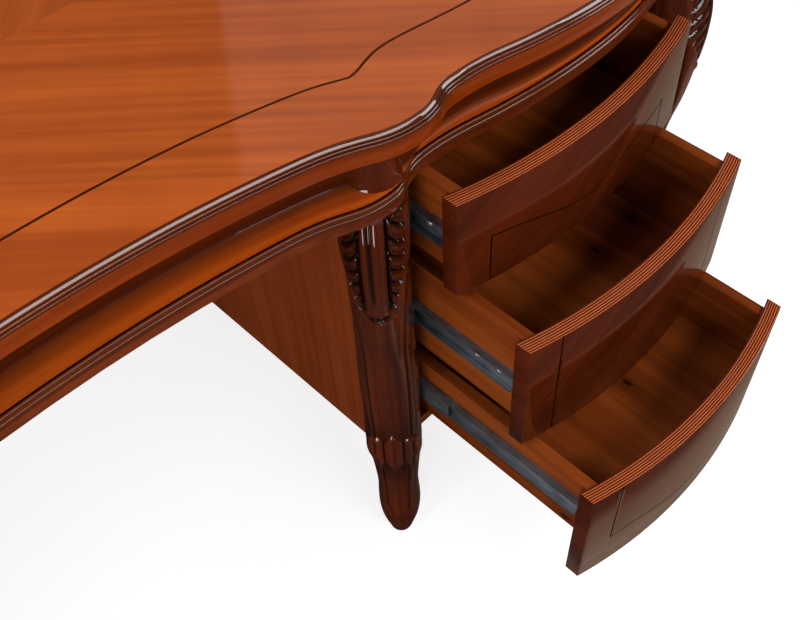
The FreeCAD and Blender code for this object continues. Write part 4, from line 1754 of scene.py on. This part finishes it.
# ---------------------------------------------------------------- drawers
@dataclass(frozen=True)
class BowedFronts:
    """Six bent laminated fronts; one fine groove frames each stack of three.

    A front is drawn about its kneehole end, from which the frame's places are measured too.
    """

    width: float = 0.380
    bow: float = 0.0285
    thickness: float = 0.019
    steps: int = 56
    rounding: float = 0.0009
    rounded_above: float = 40.0
    frame_left: float = 0.040
    frame_right: float = 0.322
    frame_head: float = 0.604
    frame_dip: float = 0.027
    frame_lean: float = 0.006
    frame_foot: float = 0.216
    foot_dip: float = 0.028
    dip_reach: float = 0.86
    frame_half_steps: int = 30
    groove_width: float = 0.0021
    groove_depth: float = 0.0014
    groove_step: float = 0.03
    groove_section: tuple[Point, ...] = ((-0.5, 0.0), (-0.5, -0.6), (0.5, -0.6), (0.5, 0.0), (0.0, 1.0))
    groove_tolerance: float = 0.00006
    plies_from: float = 0.4

    def radius(self) -> float:
        """Radius of the outer face."""
        return (self.width ** 2 / 4 + self.bow ** 2) / (2 * self.bow)

    def plan(self, share: float, depth: float) -> Point:
        """A plan point of a front, from its kneehole end and its ends' level.

        Args:
            share: 0 at the kneehole end and 1 at the outer end.
            depth: Distance behind the outer face.

        Returns:
            The distance from the kneehole end, and from the ends' level towards the sitter.
        """
        radius = self.radius()
        offset = self.width * (share - 0.5)
        reach = math.sqrt((radius - depth) ** 2 - offset ** 2) - (radius - self.bow)
        return self.width * share, reach

    def board(self, name: str, low_z: float, high_z: float) -> bpy.types.Object:
        """The plain bent board with softened edges.

        Args:
            name: The object's name.
            low_z: Height of its lower edge.
            high_z: Height of its upper edge.

        Returns:
            The board.
        """
        shares = [index / self.steps for index in range(self.steps + 1)]
        outer = [self.plan(share, 0.0) for share in shares]
        inner = [self.plan(share, self.thickness) for share in reversed(shares)]
        loop = np.array([(x, -reach) for x, reach in outer + inner])
        count = len(loop)
        faces = grid_faces(2, count)
        for index in range(self.steps):
            far = count - 1 - index
            faces.append((index, index + 1, far - 1, far))
            faces.append((count + index, count + index + 1, count + far - 1, count + far))
        points = np.vstack([lifted(loop, height) for height in (low_z, high_z)])
        piece = tidy_mesh(mesh_object(name, points, faces))
        bevel = piece.modifiers.new("softened", "BEVEL")
        bevel.width = self.rounding
        bevel.segments = 2
        bevel.limit_method = "ANGLE"
        bevel.angle_limit = math.radians(self.rounded_above)
        return applied(piece)

    def frame_lines(self) -> list[list[Point]]:
        """Draws the groove frame of a stack.

        Returns:
            Its four lines, as distances from the kneehole end and heights.
        """
        middle = (self.frame_left + self.frame_right) / 2
        half = (self.frame_right - self.frame_left) / 2
        head, foot = [], []
        for index in range(2 * self.frame_half_steps + 1):
            share = index / self.frame_half_steps - 1
            bell = 0.5 + 0.5 * math.cos(math.pi * min(abs(share) / self.dip_reach, 1.0))
            lean = self.frame_lean * abs(share) ** 6
            head.append((middle + half * share, self.frame_head - self.frame_dip * bell + lean))
            foot.append((middle + half * share, self.frame_foot - self.foot_dip * bell))
        upright_top = self.frame_head + self.frame_lean
        uprights = [[(x, upright_top), (x, self.frame_foot)] for x in (self.frame_left, self.frame_right)]
        return [head, foot] + uprights

    def groove(self, line: Sequence[Point]) -> bpy.types.Object:
        """A V-shaped bar that cuts one line of the frame into the outer face.

        Args:
            line: Distances from the kneehole end and heights.

        Returns:
            The cutter.
        """
        fine = []
        for (x0, z0), (x1, z1) in zip(line, line[1:]):
            parts = max(1, math.ceil(math.hypot(x1 - x0, z1 - z0) / self.groove_step))
            fine += [(x0 + (x1 - x0) * k / parts, z0 + (z1 - z0) * k / parts) for k in range(parts)]
        path = np.array([*fine, line[-1]])
        side = leftwards(np.gradient(path, axis=0))
        points = []
        for out, depth in self.groove_section:
            for x, z in path + side * out * self.groove_width:
                across, reach = self.plan(x / self.width, depth * self.groove_depth)
                points.append((across, -reach, z))
        count, corners = len(path), len(self.groove_section)
        faces = []
        for corner in range(corners):
            first, other = corner * count, (corner + 1) % corners * count
            faces += [(first + k, first + k + 1, other + k + 1, other + k) for k in range(count - 1)]
        for end in (0, count - 1):
            faces.append(tuple(corner * count + end for corner in range(corners)))
        return tidy_mesh(mesh_object("groove_cutter", np.array(points), faces))

    def measured(self, piece: bpy.types.Object) -> None:
        """Stores the ply, run and girth of every point, for the finishes.

        Args:
            piece: A front about its kneehole end.
        """
        radius = self.radius()
        points = np.array([vertex.co for vertex in piece.data.vertices])
        offset = points[:, 0] - self.width / 2
        behind, height = points[:, 1] - (radius - self.bow), points[:, 2]
        arc = np.arctan2(offset, -behind) * radius
        store_numbers(piece.data, {
            "ply": radius - np.hypot(offset, behind),
            "run": (arc + height) * DIAGONAL,
            "girth": (height - arc) * DIAGONAL,
        })

    def build(self, face: bpy.types.Material, edge: bpy.types.Material, stain: bpy.types.Material) -> None:
        """Builds the six fronts at their places.

        Args:
            face: The veneer of the outer and inner faces.
            edge: The plies seen along the upper and lower edges.
            stain: The stain in the fine groove.
        """
        for side, sign in SIDES:
            for level in LEVELS:
                node = f"{side}_{level}_drawer_front"
                low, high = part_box(node)
                piece = self.board(f"bowed_front_{side}_{level}", low.z, high.z)
                for line in self.frame_lines():
                    heights = [z for _, z in line]
                    if max(heights) > low.z and min(heights) < high.z:
                        cut_away(piece, self.groove(line))
                self.measured(piece)
                kneehole_end = low.x if sign > 0 else -high.x
                self.move(piece, (kneehole_end, low.y + self.bow, 0.0), sign)
                tidy_mesh(piece, sharp_degrees=25.0)
                self.dress(piece, face, edge, stain)
                give(piece, "front_wood", f"{side}_{level}_drawer", node)

    @staticmethod
    def move(piece: bpy.types.Object, shift: Triple, sign: float) -> None:
        """Moves a front's points to its place.

        Args:
            piece: A front about its kneehole end.
            shift: How far it moves.
            sign: -1 for the left-hand pedestal, where the moved front is mirrored.
        """
        count = len(piece.data.vertices)
        points = np.empty(count * 3)
        piece.data.vertices.foreach_get("co", points)
        placed = (points.reshape(count, 3) + shift) * (sign, 1.0, 1.0)
        piece.data.vertices.foreach_set("co", placed.ravel())
        piece.data.update()

    def dress(self, piece: bpy.types.Object, *materials: bpy.types.Material) -> None:
        """Shows the plies along the upper and lower edges, darkens the groove and veneers the rest.

        Args:
            piece: The front, with its plies measured.
            materials: The veneer, the plies and the stain.
        """
        wear(piece, *materials)
        ply = piece.data.attributes["ply"].data
        for polygon in piece.data.polygons:
            depths = [ply[vertex].value for vertex in polygon.vertices]
            level = abs(polygon.normal.z) > 0.5
            across_plies = max(depths) - min(depths) > self.plies_from * self.thickness
            grooved = any(abs(depth - self.groove_depth) < self.groove_tolerance for depth in depths)
            if level and across_plies:
                polygon.material_index = 1
            else:
                polygon.material_index = 2 if grooved else 0


# ---------------------------------------------------------------- slides
@dataclass(frozen=True)
class SlideScrews:
    """Round-headed screws that hold each drawer's slides to its sides.

    The places are distances behind the front end of the slide. The outline of a head, with a small
    socket in its crown, gives shares of its radius and of its rise.
    """

    radius: float = 0.0038
    rise: float = 0.0017
    sides: int = 14
    wall: float = 0.0012
    places: tuple[float, ...] = (0.022, 0.054, 0.150, 0.246, 0.374)
    outline: tuple[Point, ...] = (
        (1.0, 0.0), (0.97, 0.35), (0.78, 0.78), (0.48, 1.0), (0.34, 0.98), (0.16, 0.4),
    )

    def one(self) -> bpy.types.Object:
        """Turns one screw head about +Z.

        Returns:
            The screw head.
        """
        outline = [(self.radius * out, self.rise * up) for out, up in self.outline]
        faces = grid_faces(len(outline), self.sides) + end_faces(len(outline), self.sides)
        return tidy_mesh(mesh_object("one_screw", turned(outline, self.sides), faces), sharp_degrees=40.0)

    def build(self, finish: bpy.types.Material) -> None:
        """Drives the screws into the slides of the six drawers.

        Args:
            finish: Their metal.
        """
        repeater = Repeater("repeated_screws", turned_by_way=True)
        screw = self.one()
        ways = np.repeat((-1.0, 1.0), len(self.places))
        for side, _ in SIDES:
            for level in LEVELS:
                rail_low, rail_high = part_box(f"{side}_{level}_drawer_runners")
                box_low, box_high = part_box(f"{side}_{level}_drawer_box")
                height = (rail_low.z + rail_high.z) / 2
                walls = (box_low.x - self.wall, box_high.x + self.wall)
                spots = [(wall, rail_low.y + along, height) for wall in walls for along in self.places]
                piece = mesh_object(f"slide_screws_{side}_{level}", np.array(spots), [], {"way": ways})
                repeater.set_out(piece, screw, finish)
                give(piece, "zinc_steel", f"{side}_{level}_drawer")
        bpy.data.objects.remove(screw)


# ---------------------------------------------------------------- setting
@dataclass(frozen=True)
class Camera:
    """The viewpoint: above the sitter's left shoulder, looking down to the right-hand drawers."""

    place: Triple = (-0.0430, -0.82001, 1.37039)
    azimuth: float = -41.96
    elevation: float = 52.16
    roll: float = -4.19
    lens: float = 45.34
    sensor_width: float = 36.0
    nearest: float = 0.01

    def build(self) -> None:
        """Sets the scene's camera."""
        azimuth, elevation, roll = (math.radians(v) for v in (self.azimuth, self.elevation, self.roll))
        back = Vector((
            math.sin(azimuth) * math.cos(elevation), -math.cos(azimuth) * math.cos(elevation),
            math.sin(elevation),
        ))
        level = Vector((math.cos(azimuth), math.sin(azimuth), 0.0))
        upright = back.cross(level)
        right = level * math.cos(roll) + upright * math.sin(roll)
        up = upright * math.cos(roll) - level * math.sin(roll)
        data = bpy.data.cameras.new("camera")
        data.lens = self.lens
        data.sensor_width = self.sensor_width
        data.sensor_fit = "HORIZONTAL"
        data.clip_start = self.nearest
        camera = bpy.data.objects.new("camera", data)
        rotation = Matrix((right, up, back)).transposed().to_4x4()
        camera.matrix_world = Matrix.Translation(self.place) @ rotation
        bpy.context.scene.collection.objects.link(camera)
        bpy.context.scene.camera = camera


@dataclass(frozen=True)
class SoftBox:
    """An area lamp that faces a point, its width level."""

    name: str
    place: Triple
    target: Triple
    width: float
    height: float
    power: float

    def build(self) -> None:
        """Hangs the lamp."""
        data = bpy.data.lights.new(self.name, "AREA")
        data.shape = "RECTANGLE"
        data.size = self.width
        data.size_y = self.height
        data.energy = self.power
        lamp = bpy.data.objects.new(self.name, data)
        lamp.location = self.place
        aim = Vector(self.target) - Vector(self.place)
        lamp.rotation_euler = aim.to_track_quat("-Z", "Y").to_euler()
        bpy.context.scene.collection.objects.link(lamp)


class Studio:
    """Pale floor, even pale surroundings and a few soft lamps.

    The camera is shown a white ground with soft shadows. Polished wood mirrors a painted reflection
    instead: a dark ground that turns to a warm tone in front of the right-hand pedestal.
    """

    floor_size = 60.0
    floor_lit = (0.60, 0.60, 0.60)
    floor_shown = (0.44, 0.44, 0.445)
    floor_glow = 0.80
    # Painted reflection: the floor as only polished wood sees it, dark with a warm patch.
    painted_reflection_dark = (0.05, 0.05, 0.05)
    painted_reflection_warm = (0.31, 0.235, 0.175)
    painted_reflection_fade_x = (0.40, 0.50)
    painted_reflection_fade_y = (-0.85, -0.76)
    world_strength = 0.32
    world_more_seen = 0.68
    world_more_mirrored = -0.26
    lamps = (
        SoftBox("front_softbox", (0.9, -2.6, 2.85), (0.45, -0.3, 0.78), 2.7, 0.7, 46.0),
        SoftBox("right_softbox", (2.5, -1.93, 2.0), (0.45, -0.33, 0.78), 1.3, 0.9, 32.0),
        SoftBox("overhead_softbox", (-1.6, 0.2, 3.0), (0.2, 0.0, 0.6), 1.3, 1.3, 54.0),
        SoftBox("left_softbox", (-2.3, -1.8, 1.0), (0.4, 0.0, 0.4), 1.2, 1.0, 38.0),
        SoftBox("rear_panel", (2.22, 1.20, 2.6), (0.96, -0.32, 0.78), 1.8, 2.2, 5.0),
    )

    def floor(self) -> None:
        """Lays the floor."""
        bpy.ops.mesh.primitive_plane_add(size=self.floor_size, location=(0.0, 0.0, 0.0))
        ground = bpy.context.object
        ground.name = "studio_floor"
        material = bpy.data.materials.new("studio_floor")
        material.use_nodes = True
        material.node_tree.nodes.clear()
        sketch = NodeSketch(material.node_tree)
        path = sketch.add("ShaderNodeLightPath").outputs
        place = sketch.parts(sketch.here())
        # Painted reflection: glossy rays see a dark floor, warm in front of the right-hand pedestal.
        aside = sketch.ranged(place["X"], 0.0, 1.0, *self.painted_reflection_fade_x)
        near = sketch.ranged(place["Y"], 0.0, 1.0, *self.painted_reflection_fade_y)
        tone = sketch.mix(sketch.math("MULTIPLY", aside, near), self.painted_reflection_dark, self.painted_reflection_warm)
        lit, painted_reflection, pale = (
            sketch.add("ShaderNodeBsdfDiffuse", {"Color": colour}).outputs[0]
            for colour in ((*self.floor_lit, 1.0), tone, (*self.floor_shown, 1.0))
        )
        light = {"Color": (*WHITE, 1.0), "Strength": self.floor_glow}
        glow = sketch.add("ShaderNodeEmission", light).outputs[0]
        shown = sketch.add("ShaderNodeAddShader", {0: pale, 1: glow}).outputs[0]
        mirrored = sketch.add("ShaderNodeMixShader", {0: path["Is Glossy Ray"], 1: lit, 2: painted_reflection}).outputs[0]
        seen = sketch.add("ShaderNodeMixShader", {0: path["Is Camera Ray"], 1: mirrored, 2: shown})
        sketch.add("ShaderNodeOutputMaterial", {"Surface": seen.outputs[0]})
        wear(ground, material)

    def surroundings(self) -> None:
        """Fills the shadows evenly and shows white behind the desk."""
        world = bpy.data.worlds.new("studio")
        world.use_nodes = True
        world.node_tree.nodes.clear()
        sketch = NodeSketch(world.node_tree)
        path = sketch.add("ShaderNodeLightPath").outputs
        fill = sketch.math("MULTIPLY_ADD", path["Is Camera Ray"], self.world_more_seen, self.world_strength)
        strength = sketch.math("MULTIPLY_ADD", path["Is Glossy Ray"], self.world_more_mirrored, fill)
        sky = sketch.add("ShaderNodeBackground", {"Color": (*WHITE, 1.0), "Strength": strength})
        sketch.add("ShaderNodeOutputWorld", {"Surface": sky.outputs[0]})
        bpy.context.scene.world = world

    def build(self) -> None:
        """Sets floor, surroundings and lamps."""
        self.floor()
        self.surroundings()
        for lamp in self.lamps:
            lamp.build()
        bpy.context.scene.view_settings.view_transform = "Standard"


# ---------------------------------------------------------------- whole desk
class Finishes:
    """Every finish of the desk, made once."""

    def __init__(self) -> None:
        """Builds the materials."""
        self.top = QuarteredVeneer(
            "quartered_veneer", (0.275, 0.048, 0.0068), (0.425, 0.086, 0.0126), Grain.QUARTERED, bands=13.0,
        ).material()
        self.moulding = Wood(
            "polished_moulding", (0.055, 0.009, 0.002), (0.15, 0.027, 0.005), Grain.FITTED, bands=22.0,
            roughness=0.26, coat=1.0, coat_roughness=0.035,
        ).material()
        self.fascia = Wood(
            "fascia_wood", (0.150, 0.019, 0.0014), (0.34, 0.050, 0.003), Grain.FITTED, bands=12.0,
            coat=0.7, coat_roughness=0.08,
        ).material()
        # The frieze's foot takes painted shade towards its upright face.
        self.frieze = Wood(
            "frieze_wood", (0.28, 0.043, 0.004), (0.58, 0.100, 0.008), Grain.FITTED, bands=16.0,
            coat=0.12, coat_roughness=0.3, painted_recess_shade=(0.030, 0.005, 0.001),
        ).material()
        # The frieze's upright face: dark wood with painted shade.
        self.shade = Wood(
            "frieze_face_wood", (0.036, 0.005, 0.0012), (0.090, 0.013, 0.002), Grain.FITTED, bands=18.0,
            coat=0.2, coat_roughness=0.2,
        ).material()
        self.bead = Wood(
            "bead_wood", (0.060, 0.010, 0.002), (0.15, 0.027, 0.005), Grain.FITTED, bands=22.0,
            roughness=0.26, coat=0.6, coat_roughness=0.05,
        ).material()
        self.boss = Wood(
            "turned_wood", (0.045, 0.0065, 0.0015), (0.085, 0.013, 0.003), Grain.FITTED, bands=8.0,
            roughness=0.26, coat=1.0, coat_roughness=0.03,
        ).material()
        self.stain = Wood(
            "dark_stain", (0.040, 0.009, 0.003), (0.080, 0.018, 0.005), Grain.ALONG_X, bands=20.0,
            coat=0.0, specular=0.0,
        ).material()
        self.groove = Wood(
            "groove_stain", (0.007, 0.002, 0.001), (0.016, 0.004, 0.002), Grain.FITTED, bands=20.0,
            coat=0.0, specular=0.0,
        ).material()
        self.waist = Wood(
            "waist_wood", (0.080, 0.012, 0.003), (0.16, 0.028, 0.006), Grain.ALONG_X, bands=20.0,
        ).material()
        # Painted shade darkens the carving's recesses.
        self.carved = Wood(
            "carved_wood", (0.042, 0.0066, 0.002), (0.118, 0.019, 0.0045), Grain.FITTED, bands=20.0,
            roughness=0.26, coat=1.0, coat_roughness=0.04, fibre_strength=0.2,
            painted_recess_shade=(0.003, 0.001, 0.0006),
        ).material()
        self.front = Wood(
            "front_veneer", (0.042, 0.0058, 0.0013), (0.084, 0.0125, 0.0027), Grain.FITTED, bands=15.0,
            roughness=0.30, coat=0.9, coat_roughness=0.07,
        ).material()
        self.plies = Lamination("bent_plies").material()
        self.panel = Wood(
            "carcass_panel", (0.20, 0.034, 0.006), (0.31, 0.060, 0.011), Grain.ALONG_Z, bands=16.0,
            roughness=0.36, coat=0.5, coat_roughness=0.12,
        ).material()
        self.drawer = Wood(
            "drawer_softwood", (0.108, 0.017, 0.0025), (0.25, 0.053, 0.008), Grain.ALONG_Y, bands=10.0,
            roughness=0.46, coat=0.1, coat_roughness=0.25, knots=True,
        ).material()
        self.zinc = Zinc("zinc_steel").material()
        self.screws = Zinc("bright_zinc", (0.34, 0.35, 0.36), (0.62, 0.63, 0.64), 0.24).material()

    def dress_nodes(self, nodes: dict[str, bpy.types.Object]) -> None:
        """Gives every carried-over node its finish.

        Args:
            nodes: The nodes by name.
        """
        rules = (
            (("_drawer_box", "_drawer_bottom", "slide_battens"), self.drawer),
            (("_kneehole_panel", "_outer_panel", "_pedestal_", "modesty_panel"), self.panel),
            (("_runners", "_middles", "slide_outer_members"), self.zinc),
            (("waist_frame",), self.waist),
            (("frieze_", "top_", "waist_bead", "corner_bosses"), self.moulding),
            (("leg_",), self.carved),
            (("_drawer_front",), self.front),
        )
        for name, node in nodes.items():
            for words, material in rules:
                if any(word in name for word in words):
                    wear(node, material)
                    break


def main() -> None:
    """Builds the scene in order."""
    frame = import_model()
    Camera().build()
    Studio().build()
    finishes = Finishes()
    finishes.dress_nodes(frame["nodes"])
    WritingTop().build(finishes.top, finishes.stain)
    mill = SweptMoulding()
    EdgeMoulding().build(mill, finishes.moulding, finishes.fascia, finishes.top)
    Frieze().build(finishes.frieze, finishes.shade)
    WaistBead().build(mill, finishes.bead)
    TurnedBosses().build(finishes.boss)
    CarvedLegs().build(finishes.carved)
    BowedFronts().build(finishes.front, finishes.plies, finishes.groove)
    SlideScrews().build(finishes.screws)


if __name__ == "__main__":
    logging.basicConfig(level=logging.INFO, format="%(message)s")
    main()
